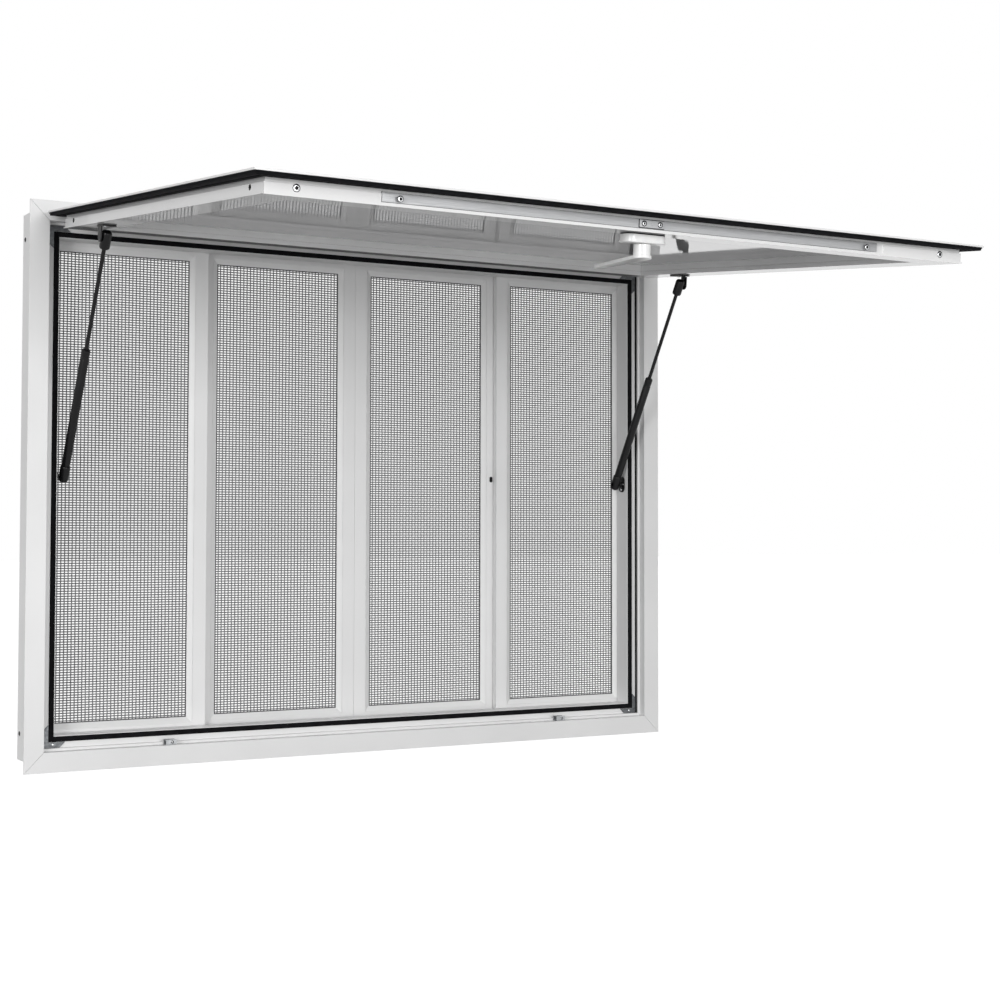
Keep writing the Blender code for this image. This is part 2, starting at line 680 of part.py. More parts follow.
def build_lock(materials, hinge):
    """The bar with its two mushroom cams, and the plate screwed on its middle."""
    face = -RAIL_FRONT
    bar_face = face - LOCK_RISE
    half = LOCK_WIDTH / 2
    outline = box_outline(LOCK_BAR_LEVEL - half, LOCK_BAR_LEVEL + half, bar_face, bar_face + LOCK_THICKNESS)
    low = LOCK_CENTRE - LOCK_HALF_LENGTH
    high = LOCK_CENTRE + LOCK_HALF_LENGTH
    bar = extrusion("lock_bar", outline, low, high, along_x, materials["steel"], hinge)
    root = -(LOCK_THICKNESS - LOCK_RISE) / 2
    neck = CAM_STEM_LENGTH
    tip = neck + CAM_HEAD_HEIGHT
    profile = [
        (root, CAM_STEM_RADIUS),
        (neck, CAM_STEM_RADIUS),
        (neck, CAM_HEAD_RADIUS),
        (tip - CAM_HEAD_HEIGHT / 3, CAM_HEAD_RADIUS),
        (tip, CAM_HEAD_RADIUS * 0.8),
    ]
    for label, side in (("left", -1), ("right", 1)):
        place = (LOCK_CENTRE + side * CAM_REACH, LOCK_LEVEL, face)
        cam = rod_shape(f"lock_cam_{label}", profile, place, (0, 0, -1), materials["steel"], hinge, 20)
        use_as_cutter(bar, cam, "UNION")
    plate = box_outline(
        LOCK_PLATE_CENTRE - LOCK_PLATE_LENGTH / 2,
        LOCK_PLATE_CENTRE + LOCK_PLATE_LENGTH / 2,
        LOCK_BAR_LEVEL - LOCK_PLATE_WIDTH / 2,
        LOCK_BAR_LEVEL + LOCK_PLATE_WIDTH / 2,
    )
    top = bar_face - JOINT_GAP
    extrusion("lock_plate", plate, top - LOCK_PLATE_THICKNESS, top, along_z, materials["steel"], hinge)


def rounded_rectangle(half_u, half_v, radius, centre=(0.0, 0.0)):
    points = []
    for quarter, (u, v) in enumerate(((1, 1), (-1, 1), (-1, -1), (1, -1))):
        middle = (centre[0] + u * (half_u - radius), centre[1] + v * (half_v - radius))
        points += arc(middle, radius, quarter * math.pi / 2, (quarter + 1) * math.pi / 2, 6)
    return points


def build_handle(materials, hinge):
    """A rounded base on the front rail, and a lever that turns on it."""
    reach = RAIL_FRONT - HANDLE_FROM_EDGE
    centre = (HANDLE_CENTRE, -reach)
    base_top = RAIL_DEPTH + JOINT_GAP
    base_low = base_top + HANDLE_BASE_HEIGHT
    outline = rounded_rectangle(HANDLE_BASE_LENGTH / 2, HANDLE_BASE_WIDTH / 2, HANDLE_BASE_ROUND, centre)
    base = extrusion("handle_base", outline, base_top, base_low, along_y, materials["white"], hinge)
    bevel_edges(base, EDGE_BEVEL)
    neck_top = base_low + JOINT_GAP
    neck_low = neck_top + NECK_HEIGHT
    pivot = make_empty("handle_pivot", (centre[0], neck_top, centre[1]), hinge)
    length = neck_low - neck_top + LEVER_THICKNESS
    stations = [(0.0, NECK_RADIUS), (NECK_HEIGHT, NECK_RADIUS)]
    stations += [(NECK_HEIGHT + EDGE_BEVEL, LEVER_ROOT_RADIUS), (length - EDGE_BEVEL, LEVER_ROOT_RADIUS)]
    stations += [(length, LEVER_ROOT_RADIUS - EDGE_BEVEL)]
    lever = rod_shape("handle_lever", stations, (0, 0, 0), (0, 1, 0), materials["white"], pivot)
    slope = math.asin((LEVER_ROOT_RADIUS - LEVER_TIP_RADIUS) / LEVER_LENGTH)
    arm = arc((0.0, LEVER_LENGTH), LEVER_TIP_RADIUS, slope, math.pi - slope, 12)
    root = LEVER_ROOT_RADIUS - EDGE_BEVEL
    arm += [(-root, 0.0), (root, 0.0)]
    low = NECK_HEIGHT + EDGE_BEVEL / 2
    blade = extrusion("handle_arm", arm, low, low + LEVER_THICKNESS - EDGE_BEVEL, along_y, materials["white"], pivot)
    for vertex in blade.data.vertices:
        vertex.co.y += LEVER_DROP * vertex.co.z / LEVER_LENGTH
    use_as_cutter(lever, blade, "UNION")


def build_struts(materials, hinge):
    hinge_point = Vector((0.0, HINGE_Y, HINGE_Z))
    outward = Vector((0.0, -math.sin(OPENING_ANGLE), -math.cos(OPENING_ANGLE)))
    down = Vector((0.0, math.cos(OPENING_ANGLE), -math.sin(OPENING_ANGLE)))
    top = hinge_point + outward * STRUT_TOP_REACH + down * STRUT_TOP_DROP
    foot = Vector((0.0, STRUT_FOOT_DEPTH, STRUT_FOOT_HEIGHT))
    length = (top - foot).length
    direction = (top - foot).normalized()
    for label, side in (("left", -1), ("right", 1)):
        x = side * (HALF_WIDTH - STRUT_INSET)
        build_strut(label, side, x, foot, top, length, direction, materials)
        build_top_bracket(label, side, x, materials, hinge)
        build_foot_bracket(label, side, x, materials)


def socket_stations(start, end, radius):
    round_off = SOCKET_ROUND
    return [
        (start, radius - round_off),
        (start + round_off * 0.3, radius - round_off * 0.3),
        (start + round_off, radius),
        (end - round_off, radius),
        (end - round_off * 0.3, radius - round_off * 0.3),
        (end, radius - round_off),
    ]


def build_strut(label, side, x, foot, top, length, direction, materials):
    """The cylinder with its foot socket and the rod with its top socket, along one line."""
    foot_empty = make_empty(f"strut_{label}_foot", (x, foot.y, foot.z))
    top_empty = make_empty(f"strut_{label}_top", (x, top.y, top.z))
    black = materials["black"]
    socket = socket_stations(-SOCKET_BACK, SOCKET_FRONT, SOCKET_RADIUS)
    tube = socket + [
        (SOCKET_FRONT, CYLINDER_RADIUS - EDGE_BEVEL),
        (SOCKET_FRONT + EDGE_BEVEL, CYLINDER_RADIUS),
        (CYLINDER_LENGTH - CYLINDER_END_SETBACK, CYLINDER_RADIUS),
        (CYLINDER_LENGTH - EDGE_BEVEL, CYLINDER_RADIUS - EDGE_BEVEL),
        (CYLINDER_LENGTH, CYLINDER_RADIUS - EDGE_BEVEL * 2),
    ]
    cylinder = rod_shape(f"strut_cylinder_{label}", tube, (0, 0, 0), direction, black, foot_empty)
    bore_start = SOCKET_FRONT + EDGE_BEVEL * 2
    bore = [(bore_start, ROD_RADIUS + SLIDING_GAP), (length, ROD_RADIUS + SLIDING_GAP)]
    use_as_cutter(cylinder, rod_shape(f"strut_bore_{label}", bore, (0, 0, 0), direction, black, foot_empty, 20))
    rod_end = -(length - CYLINDER_LENGTH + ROD_OVERLAP)
    rod_stations = [(rod_end, ROD_RADIUS), (-SOCKET_FRONT, ROD_RADIUS)]
    rod_stations += [(-d, r) for d, r in reversed(socket)]
    rod = rod_shape(f"strut_rod_{label}", rod_stations, (0, 0, 0), direction, black, top_empty)
    hole = STUD_RADIUS + SLIDING_GAP
    ends = [(-SOCKET_RADIUS * 2, hole), (SOCKET_RADIUS * 2, hole)]
    for target, empty, kind in ((rod, top_empty, "top"), (cylinder, foot_empty, "foot")):
        eye = rod_shape(f"strut_{kind}_eye_{label}", ends, (0, 0, 0), (side, 0, 0), black, empty, 20)
        use_as_cutter(target, eye)


def build_top_bracket(label, side, x, materials, hinge):
    """A plate under the awning's side rail, an ear and a stud through the rod's socket."""
    plate_top = RAIL_DEPTH + JOINT_GAP
    plate_low = plate_top + BRACKET_THICKNESS
    ear_inner = abs(x) + SOCKET_RADIUS + SLIDING_GAP * 1.5
    ear_outer = ear_inner + EAR_THICKNESS
    pivot = (STRUT_TOP_DROP, -STRUT_TOP_REACH)
    half = TOP_PLATE_LENGTH / 2
    lows, highs = sorted((side * (ear_outer - TOP_PLATE_WIDTH), side * ear_outer))
    outline = box_outline(lows, highs, pivot[1] - half, pivot[1] + half)
    bracket = extrusion(f"strut_top_bracket_{label}", outline, plate_top, plate_low, along_y, materials["black"], hinge)
    ear = [(plate_low - BRACKET_THICKNESS / 2, pivot[1] + EAR_RADIUS)]
    ear += [(plate_low - BRACKET_THICKNESS / 2, pivot[1] - EAR_RADIUS)]
    ear += arc(pivot, EAR_RADIUS, -math.pi / 2, math.pi / 2, 12)
    ear_low, ear_high = sorted((side * ear_inner, side * ear_outer))
    lug = extrusion(f"strut_ear_{label}", ear, ear_low, ear_high, along_x, materials["black"], hinge)
    use_as_cutter(bracket, lug, "UNION")
    start = EAR_THICKNESS / 2 + SOCKET_RADIUS + SLIDING_GAP * 1.5
    stud = [(-start, STUD_RADIUS), (SOCKET_RADIUS - SLIDING_GAP, STUD_RADIUS)]
    place = (x, pivot[0], pivot[1])
    pin = rod_shape(f"strut_pin_{label}", stud, place, (-side, 0, 0), materials["black"], hinge, 20)
    use_as_cutter(bracket, pin, "UNION")


def build_foot_bracket(label, side, x, materials):
    """A plate on the jamb and a collared stud that ends just short of the cylinder's socket."""
    wall = HALF_WIDTH - SEAT_EDGE - JOINT_GAP
    low, high = sorted((side * (wall - BRACKET_THICKNESS), side * wall))
    half_y = FOOT_PLATE_WIDTH / 2
    half_z = FOOT_PLATE_HEIGHT / 2
    centre = (STRUT_FOOT_DEPTH, STRUT_FOOT_HEIGHT)
    outline = rounded_rectangle(half_y, half_z, half_y / 3, centre)
    bracket = extrusion(f"strut_foot_bracket_{label}", outline, low, high, along_x, materials["black"])
    root = wall - BRACKET_THICKNESS / 2
    end = abs(x) + SOCKET_RADIUS + SLIDING_GAP * 1.5
    collar = BRACKET_THICKNESS / 2 + FOOT_COLLAR_LENGTH
    stations = [
        (0.0, FOOT_COLLAR_RADIUS),
        (collar, FOOT_COLLAR_RADIUS),
        (collar, STUD_RADIUS),
        (root - end, STUD_RADIUS),
    ]
    place = (side * root, centre[0], centre[1])
    stud = rod_shape(f"strut_stud_{label}", stations, place, (-side, 0, 0), materials["black"], None, 24)
    use_as_cutter(bracket, stud, "UNION")


def main():
    clear_scene()
    materials = {
        "paint": make_material("white_paint", (0.72, 0.73, 0.74), 0.35, 0.0),
        "white": make_material("white_handle", (0.86, 0.86, 0.86), 0.3, 0.0),
        "rubber": make_material("black_rubber", (0.02, 0.02, 0.022), 0.7, 0.0),
        "black": make_material("black_steel", (0.025, 0.025, 0.027), 0.35, 0.0),
        "steel": make_material("bright_steel", (0.62, 0.63, 0.64), 0.3, 1.0),
        "zinc": make_material("zinc_plate", (0.45, 0.46, 0.47), 0.4, 1.0),
        "mesh": make_material("screen_mesh", (0.32, 0.33, 0.34), 0.7, 0.0, 0.45),
    }
    build_frame(materials)
    build_sashes(materials)
    build_hinge_rail(materials)
    build_keepers(materials)
    hinge = make_empty("awning_hinge_axis", (0.0, HINGE_Y, HINGE_Z))
    hinge.rotation_euler = (-OPENING_ANGLE, 0.0, 0.0)
    build_awning(materials, hinge)
    build_struts(materials, hinge)


main()
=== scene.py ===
# Concession window with its awning raised: looks, small parts, camera and light.

import json
import math

import bpy
from mathutils import Matrix, Vector


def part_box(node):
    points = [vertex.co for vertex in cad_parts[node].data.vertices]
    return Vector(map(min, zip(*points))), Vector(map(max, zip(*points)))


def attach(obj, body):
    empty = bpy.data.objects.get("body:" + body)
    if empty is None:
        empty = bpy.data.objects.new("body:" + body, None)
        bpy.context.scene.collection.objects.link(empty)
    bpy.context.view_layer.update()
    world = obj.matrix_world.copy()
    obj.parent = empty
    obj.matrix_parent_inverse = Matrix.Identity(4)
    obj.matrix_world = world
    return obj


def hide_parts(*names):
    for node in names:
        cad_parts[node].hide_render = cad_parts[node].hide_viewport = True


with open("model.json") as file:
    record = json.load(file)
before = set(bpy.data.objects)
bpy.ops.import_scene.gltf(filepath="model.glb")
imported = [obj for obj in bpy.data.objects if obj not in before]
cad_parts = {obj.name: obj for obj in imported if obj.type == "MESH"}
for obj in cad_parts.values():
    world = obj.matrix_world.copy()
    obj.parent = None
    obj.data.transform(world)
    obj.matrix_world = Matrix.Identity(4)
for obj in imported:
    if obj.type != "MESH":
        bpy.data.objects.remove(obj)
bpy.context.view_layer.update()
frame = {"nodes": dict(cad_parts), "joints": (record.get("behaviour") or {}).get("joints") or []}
nodes = frame["nodes"]

# The awning is modelled shut, with y as depth and -z as reach, then turned open about its hinge
hingeJoint = next(joint for joint in frame["joints"] if joint["name"] == "awning_hinge")
hingeTurn = Matrix.Rotation(-math.radians(hingeJoint["range_deg"][1]), 4, "X")
awningOpen = Matrix.Translation(hingeJoint["pos_m"]) @ hingeTurn
print("frame loaded:", len(nodes), "nodes")


# ---- colours and nodes

def linear(hexColour):  # sRGB hex to the linear values that shaders take
    channels = [int(hexColour[i:i + 2], 16) / 255 for i in (1, 3, 5)]
    return (*[c / 12.92 if c <= 0.04045 else ((c + 0.055) / 1.055) ** 2.4 for c in channels], 1.0)


def addNode(tree, kind, settings=None, links=None):  # a setting is a socket's value or a property
    node = tree.nodes.new(kind)
    for key, value in (settings or {}).items():
        if isinstance(key, int) or key in node.inputs:
            node.inputs[key].default_value = value
        else:
            setattr(node, key, value)
    for key, source in (links or {}).items():
        tree.links.new(source, node.inputs[key])
    return node


def newMaterial(name, metallic=0.0, roughness=0.5, **sockets):
    material = bpy.data.materials.new(name)
    material.use_nodes = True
    shader = material.node_tree.nodes["Principled BSDF"]
    shader.inputs["Metallic"].default_value = metallic
    shader.inputs["Roughness"].default_value = roughness
    for key, value in sockets.items():
        shader.inputs[key].default_value = value
    return material, material.node_tree, shader


def noiseAt(tree, coords, sizeMm, detail=2.0, stretch=(1, 1, 1)):  # noise whose grain has a real size
    mapping = addNode(tree, "ShaderNodeMapping", {"Scale": stretch}, {"Vector": coords})
    grain = {"Scale": 1000 / sizeMm, "Detail": detail}
    return addNode(tree, "ShaderNodeTexNoise", grain, {"Vector": mapping.outputs[0]})


def rampBetween(tree, factor, first, second, low=0.35, high=0.65):
    ramp = addNode(tree, "ShaderNodeValToRGB", links={"Fac": factor})
    ramp.color_ramp.elements[0].color = linear(first)
    ramp.color_ramp.elements[1].color = linear(second)
    ramp.color_ramp.elements[0].position = low
    ramp.color_ramp.elements[1].position = high
    return ramp.outputs["Color"]


def spread(tree, factor, low, high):  # turns a 0 to 1 pattern into a range of roughness
    limits = {"From Min": 0.3, "From Max": 0.7, "To Min": low, "To Max": high}
    return addNode(tree, "ShaderNodeMapRange", limits, {"Value": factor}).outputs["Result"]


def coat(tree, shader, pattern, first, second, roughLow, roughHigh):  # colour and gloss drift together
    tree.links.new(rampBetween(tree, pattern, first, second), shader.inputs["Base Color"])
    tree.links.new(spread(tree, pattern, roughLow, roughHigh), shader.inputs["Roughness"])


def roundedNormal(tree, radiusMm):  # edges catch the light as if they were this round
    return addNode(tree, "ShaderNodeBevel", {"samples": 4, "Radius": radiusMm / 1000}).outputs[0]


def addBump(tree, shader, pattern, strength, depthMm, normal=None):  # a pattern lifted from the surface
    links = {"Height": pattern.outputs["Fac"]}
    if normal is not None:
        links["Normal"] = normal
    bump = addNode(tree, "ShaderNodeBump", {"Strength": strength, "Distance": depthMm / 1000}, links)
    tree.links.new(bump.outputs[0], shader.inputs["Normal"])


# ---- materials

def powderCoat(name, light, shade, rough, cloudMm=180, peelMm=1.6, peelStrength=0.1):
    # Polyester powder baked on aluminium: faint orange peel, soft edges where the coat pulls back
    material, tree, shader = newMaterial(name, roughness=rough)
    coords = addNode(tree, "ShaderNodeTexCoord").outputs["Object"]
    cloud = noiseAt(tree, coords, cloudMm)
    peel = noiseAt(tree, coords, peelMm, 1.0)
    coat(tree, shader, cloud.outputs["Fac"], light, shade, rough - 0.02, rough + 0.03)
    addBump(tree, shader, peel, peelStrength, 0.2, roundedNormal(tree, 0.5))
    return material


def glossySheet(name, light, shade, rough):
    # Pre-painted sheet and trims: a near mirror at a low angle, with the slow ripple of rolled sheet
    material, tree, shader = newMaterial(name, roughness=rough)
    coords = addNode(tree, "ShaderNodeTexCoord").outputs["Object"]
    cloud = noiseAt(tree, coords, 240)
    ripple = noiseAt(tree, coords, 90, 0.0, (1, 0.35, 1))
    coat(tree, shader, cloud.outputs["Fac"], light, shade, rough * 0.8, rough * 1.3)
    addBump(tree, shader, ripple, 0.12, 1.0, roundedNormal(tree, 0.5))
    return material


def rubberSeal(name, light, shade):
    # Extruded rubber or soft vinyl: matt, with a faint bloom and next to no shine
    material, tree, shader = newMaterial(name, roughness=0.8)
    shader.inputs["Specular IOR Level"].default_value = 0.06
    coords = addNode(tree, "ShaderNodeTexCoord").outputs["Object"]
    bloom = noiseAt(tree, coords, 14)
    grain = noiseAt(tree, coords, 0.9)
    coat(tree, shader, bloom.outputs["Fac"], shade, light, 0.72, 0.86)
    addBump(tree, shader, grain, 0.25, 0.2)
    return material


def blackEnamel(name, rough):
    # Black enamel on steel: satin, with fine nibs from spraying
    material, tree, shader = newMaterial(name, roughness=rough)
    shader.inputs["Specular IOR Level"].default_value = 0.22
    coords = addNode(tree, "ShaderNodeTexCoord").outputs["Object"]
    nibs = noiseAt(tree, coords, 0.8)
    cloud = noiseAt(tree, coords, 25)
    coat(tree, shader, cloud.outputs["Fac"], "#08080A", "#101012", rough - 0.06, rough + 0.08)
    addBump(tree, shader, nibs, 0.15, 0.2)
    return material


def brushedSteel(name, light, shade, rough=0.3, metallic=1.0):
    # Stainless strip, brushed along its length: streaks of light run along x
    material, tree, shader = newMaterial(name, metallic=metallic, roughness=rough)
    coords = addNode(tree, "ShaderNodeTexCoord").outputs["Object"]
    streaks = noiseAt(tree, coords, 0.5, 3.0, (0.02, 1, 1))
    coat(tree, shader, streaks.outputs["Fac"], light, shade, rough - 0.08, rough + 0.12)
    addBump(tree, shader, streaks, 0.2, 0.1, roundedNormal(tree, 0.2))
    return material


def zincPlate(name, light, shade, crystalMm=4):
    # Galvanised sheet: dull crystals a few millimetres across
    material, tree, shader = newMaterial(name, metallic=1.0, roughness=0.5)
    coords = addNode(tree, "ShaderNodeTexCoord").outputs["Object"]
    spangle = addNode(tree, "ShaderNodeTexVoronoi", {"Scale": 1000 / crystalMm}, {"Vector": coords})
    spangled = rampBetween(tree, spangle.outputs["Color"], shade, light, 0.0, 1.0)
    tree.links.new(spangled, shader.inputs["Base Color"])
    tree.links.new(spread(tree, spangle.outputs["Distance"], 0.42, 0.58), shader.inputs["Roughness"])
    return material


def coatedWire(name, light, shade):
    # Vinyl coated wire: satin grey, a little uneven along each strand
    material, tree, shader = newMaterial(name, roughness=0.45)
    coords = addNode(tree, "ShaderNodeTexCoord").outputs["Object"]
    uneven = noiseAt(tree, coords, 6)
    coat(tree, shader, uneven.outputs["Fac"], light, shade, 0.4, 0.55)
    return material


def mouldedGloss(name, light, shade):
    # Enamelled die-casting: high gloss with a soft ripple from the mould
    material, tree, shader = newMaterial(name, roughness=0.14)
    coords = addNode(tree, "ShaderNodeTexCoord").outputs["Object"]
    ripple = noiseAt(tree, coords, 9, 1.0)
    coat(tree, shader, ripple.outputs["Fac"], light, shade, 0.1, 0.2)
    addBump(tree, shader, ripple, 0.05, 0.3)
    return material


whiteFrame = powderCoat("whitePowderCoat", "#E9E9E9", "#E4E4E4", 0.31)
whiteSash = powderCoat("whiteSashCoat", "#EBEBEB", "#E6E6E6", 0.31)
whiteAwning = powderCoat("whiteAwningCoat", "#EBEBEB", "#E7E7E7", 0.23)
glossPanel = glossySheet("glossyPanelSheet", "#DADADB", "#D3D3D4", 0.045)
glossRail = glossySheet("glossyRailCoat", "#F1F1F1", "#ECECEC", 0.06)
rubber = rubberSeal("extrudedRubber", "#1A1A1C", "#0F0F11")
# grey vinyl of the splines, dark enough that it also paints the shade along the screens' edges
splineVinylAndShade = rubberSeal("greyVinylSplineAndShade", "#5E5F61", "#4E4F51")
enamel = blackEnamel("blackEnamelSteel", 0.32)
rodBlack = blackEnamel("blackenedRod", 0.22)
# black enamel used as painted shade: the discs under the screw heads and the outlines round the lock bar
# and its plate
paintedShadeBlack = blackEnamel("shadedScrewSeat", 0.7)
brushed = brushedSteel("brushedStainless", "#B9BABB", "#AAABAD", 0.5, 0.35)
screwSteel = brushedSteel("polishedScrewSteel", "#D8D9DA", "#B9BBBD", 0.22)
zinc = zincPlate("galvanisedSheet", "#ACAEB0", "#8A8C8E")
dullZinc = zincPlate("dullZincSheet", "#747678", "#5C5E60")
wire = coatedWire("coatedScreenWire", "#77797B", "#68696B")
handleGloss = mouldedGloss("glossWhiteEnamel", "#F4F4F3", "#EEEEEE")

nodeFinish = {
    "frame_": whiteFrame, "hinge_rail": whiteFrame, "sash_": whiteSash, "awning_": whiteAwning,
    "awning_front_rail": glossRail, "awning_back_rail": glossRail, "awning_left_rail": glossRail,
    "awning_right_rail": glossRail, "awning_inner_panel": glossPanel, "awning_seal": rubber,
    "frame_gasket": rubber, "corner_plate": dullZinc, "keeper": zinc, "lock_bar": brushed,
    "lock_plate": brushed, "handle": handleGloss, "strut": enamel, "sash_lock": enamel, "screen": wire,
}
for name, node in nodes.items():
    best = max((key for key in nodeFinish if name.startswith(key)), key=len)
    node.data.materials.clear()
    node.data.materials.append(nodeFinish[best])
print("materials made:", len(bpy.data.materials))


# ---- modelling helpers

def deselectAll():
    if bpy.context.mode != "OBJECT":
        bpy.ops.object.mode_set(mode="OBJECT")
    bpy.ops.object.select_all(action="DESELECT")


def makeActive(piece):
    deselectAll()
    piece.select_set(True)
    bpy.context.view_layer.objects.active = piece


def added(name):  # names the primitive that was just added
    piece = bpy.context.object
    piece.name = piece.data.name = name
    return piece


def pick(piece, kind, test):  # selects what passes a test, and stays in edit mode
    bpy.ops.object.mode_set(mode="EDIT")
    bpy.ops.mesh.select_mode(type=kind)
    bpy.ops.mesh.select_all(action="DESELECT")
    bpy.ops.object.mode_set(mode="OBJECT")
    mesh = piece.data
    if kind == "FACE":
        for face in mesh.polygons:
            face.select = test(face.center, face.normal)
    elif kind == "EDGE":
        for edge in mesh.edges:
            edge.select = test(*[mesh.vertices[i].co for i in edge.vertices])
    else:
        for point in mesh.vertices:
            point.select = test(point.co)
    bpy.ops.object.mode_set(mode="EDIT")


def applyModifier(piece, kind, **settings):
    makeActive(piece)
    modifier = piece.modifiers.new(kind.title(), kind)
    for key, value in settings.items():
        setattr(modifier, key, value)
    bpy.ops.object.modifier_apply(modifier=modifier.name)


def settle(piece):  # puts the place, turn and size of a piece into its mesh
    makeActive(piece)
    bpy.ops.object.transform_apply(location=True, rotation=True, scale=True)


def move(piece, matrix):
    piece.matrix_world = matrix
    bpy.context.view_layer.update()
    settle(piece)
    return piece


def copyOf(piece, name, matrix=None):
    twin = piece.copy()
    twin.data = piece.data.copy()
    twin.name = twin.data.name = name
    bpy.context.scene.collection.objects.link(twin)
    if matrix is not None:
        move(twin, matrix)
    return twin


def cleanUp(piece):
    makeActive(piece)
    bpy.ops.object.mode_set(mode="EDIT")
    bpy.ops.mesh.select_all(action="SELECT")
    bpy.ops.mesh.remove_doubles(threshold=0.000005)
    bpy.ops.mesh.normals_make_consistent(inside=False)
    bpy.ops.object.mode_set(mode="OBJECT")


def finishPiece(piece, body, material, instead=(), angle=35, clean=True):
    if clean:
        cleanUp(piece)
    makeActive(piece)
    if angle:
        bpy.ops.object.shade_smooth_by_angle(angle=math.radians(angle))
    else:
        bpy.ops.object.shade_smooth()
    if not piece.data.materials:
        piece.data.materials.append(material)
    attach(piece, body)
    if instead:
        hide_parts(*instead)
    return piece


def turned(name, stations, sides=32):  # a disc on z, extruded and resized from station to station
    deselectAll()
    last, radius = stations[0]
    bpy.ops.mesh.primitive_circle_add(vertices=sides, radius=radius, fill_type="NGON",
                                      location=(0, 0, last))
    piece = added(name)
    bpy.ops.object.mode_set(mode="EDIT")
    bpy.ops.mesh.select_all(action="SELECT")
    for distance, nextRadius in stations[1:]:
        bpy.ops.mesh.extrude_region_move(TRANSFORM_OT_translate={"value": (0, 0, distance - last)})
        ratio = nextRadius / radius
        bpy.ops.transform.resize(value=(ratio, ratio, 1), center_override=(0, 0, distance))
        last, radius = distance, nextRadius
    settle(piece)
    cleanUp(piece)
    return piece


def axisTo(point, direction, roll=0.0):  # turns z to a direction and moves it to a point
    turn = Vector(direction).to_track_quat("Z", "Y").to_matrix().to_4x4()
    return Matrix.Translation(point) @ turn @ Matrix.Rotation(roll, 4, "Z")


def cutWith(piece, cutter):
    applyModifier(piece, "BOOLEAN", operation="DIFFERENCE", solver="EXACT", object=cutter)
    bpy.data.objects.remove(cutter)


def joinWith(piece, other):
    applyModifier(piece, "BOOLEAN", operation="UNION", solver="EXACT", object=other)
    bpy.data.objects.remove(other)


def roundedPlate(name, size, corner, along):  # a cube resized, its edges along one axis rounded
    deselectAll()
    bpy.ops.mesh.primitive_cube_add(size=1)
    piece = added(name)
    piece.scale = size
    settle(piece)
    pick(piece, "EDGE", lambda a, b: abs((b - a).normalized()[along]) > 0.99)
    bpy.ops.mesh.bevel(offset=corner, segments=6, affect="EDGES")
    deselectAll()
    return piece


def softenEdges(piece, width, segments=2, angle=40):
    applyModifier(piece, "BEVEL", width=width, segments=segments, limit_method="ANGLE",
                  angle_limit=math.radians(angle), use_clamp_overlap=True)
    return piece


def jointNamed(name):
    return next(joint for joint in frame["joints"] if joint["name"] == name)


def awningBox(name):  # a node's box in the shut awning's own directions
    back = awningOpen.inverted()
    points = [back @ vertex.co for vertex in nodes[name].data.vertices]
    low = Vector([min(point[i] for point in points) for i in range(3)])
    high = Vector([max(point[i] for point in points) for i in range(3)])
    return low, high


# ---- insect screens: two wires each way, woven once, then repeated

weaveSettings = {
    "pitchAcross": 0.0063,
    "pitchUp": 0.00415,
    "wireRadius": 0.00096,
    "flatness": 0.55,
    "swing": 0.00042,
    "merge": 0.00001,
}


def waveWire(name, start, along, steps, swing):  # a four-sided wire that swings once on each side
    deselectAll()
    bpy.ops.mesh.primitive_circle_add(vertices=4, radius=weaveSettings["wireRadius"],
                                      fill_type="NOTHING", location=start,
                                      rotation=(0, 0, 0) if along.z else (0, math.pi / 2, 0))
    piece = added(name)
    settle(piece)
    bpy.ops.object.mode_set(mode="EDIT")
    bpy.ops.mesh.select_all(action="SELECT")
    bpy.ops.transform.resize(value=(1, weaveSettings["flatness"], 1), center_override=start)
    for turn in (-2, 2):
        step = along * steps + Vector((0, turn * swing, 0))
        bpy.ops.mesh.extrude_region_move(TRANSFORM_OT_translate={"value": step})
    deselectAll()
    return piece


def weaveScreen():
    low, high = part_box("screen_1")
    size = high - low
    columns = 2 * round(size.x / weaveSettings["pitchAcross"] / 2)
    rows = 2 * round(size.z / weaveSettings["pitchUp"] / 2)
    stepX, stepZ = size.x / columns, size.z / rows
    swing = weaveSettings["swing"]
    origin = Vector((low.x + stepX / 2, (low.y + high.y) / 2, low.z))
    up, across = Vector((0, 0, 1)), Vector((1, 0, 0))
    parts = []
    for index, side in ((0, 1), (1, -1)):
        start = origin + across * stepX * index + Vector((0, side * swing, 0))
        parts.append(waveWire(f"warp_{index}", start, up, stepZ, side * swing))
        start = origin + up * stepZ * (index + 0.5) - across * stepX / 2 - Vector((0, side * swing, 0))
        parts.append(waveWire(f"weft_{index}", start, across, stepX, -side * swing))
    deselectAll()
    for part in parts:
        part.select_set(True)
    bpy.context.view_layer.objects.active = parts[0]
    bpy.ops.object.join()
    mesh = parts[0]
    for count, step in ((columns // 2, (2 * stepX, 0, 0)), (rows // 2, (0, 0, 2 * stepZ))):
        applyModifier(mesh, "ARRAY", count=count, use_relative_offset=False, use_constant_offset=True,
                      constant_offset_displace=step, use_merge_vertices=True,
                      merge_threshold=weaveSettings["merge"])
    bpy.ops.object.mode_set(mode="EDIT")
    bpy.ops.mesh.select_all(action="SELECT")
    bpy.ops.mesh.remove_doubles(threshold=weaveSettings["merge"])
    bpy.ops.mesh.fill_holes(sides=4)
    bpy.ops.mesh.normals_make_consistent(inside=False)
    deselectAll()
    return mesh


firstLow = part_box("screen_1")[0]
screens = [weaveScreen()]
for index in (2, 3, 4):
    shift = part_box(f"screen_{index}")[0] - firstLow
    screens.append(copyOf(screens[0], f"woven_screen_{index}", Matrix.Translation(shift)))
screens[0].name = screens[0].data.name = "woven_screen_1"
for index, screen in enumerate(screens, start=1):
    finishPiece(screen, "frame", wire, (f"screen_{index}",), angle=0, clean=False)
print("screens woven:", len(screens[0].data.polygons), "faces each")


# ---- rubber seals: a flat ring, raised and inset into lips and a groove

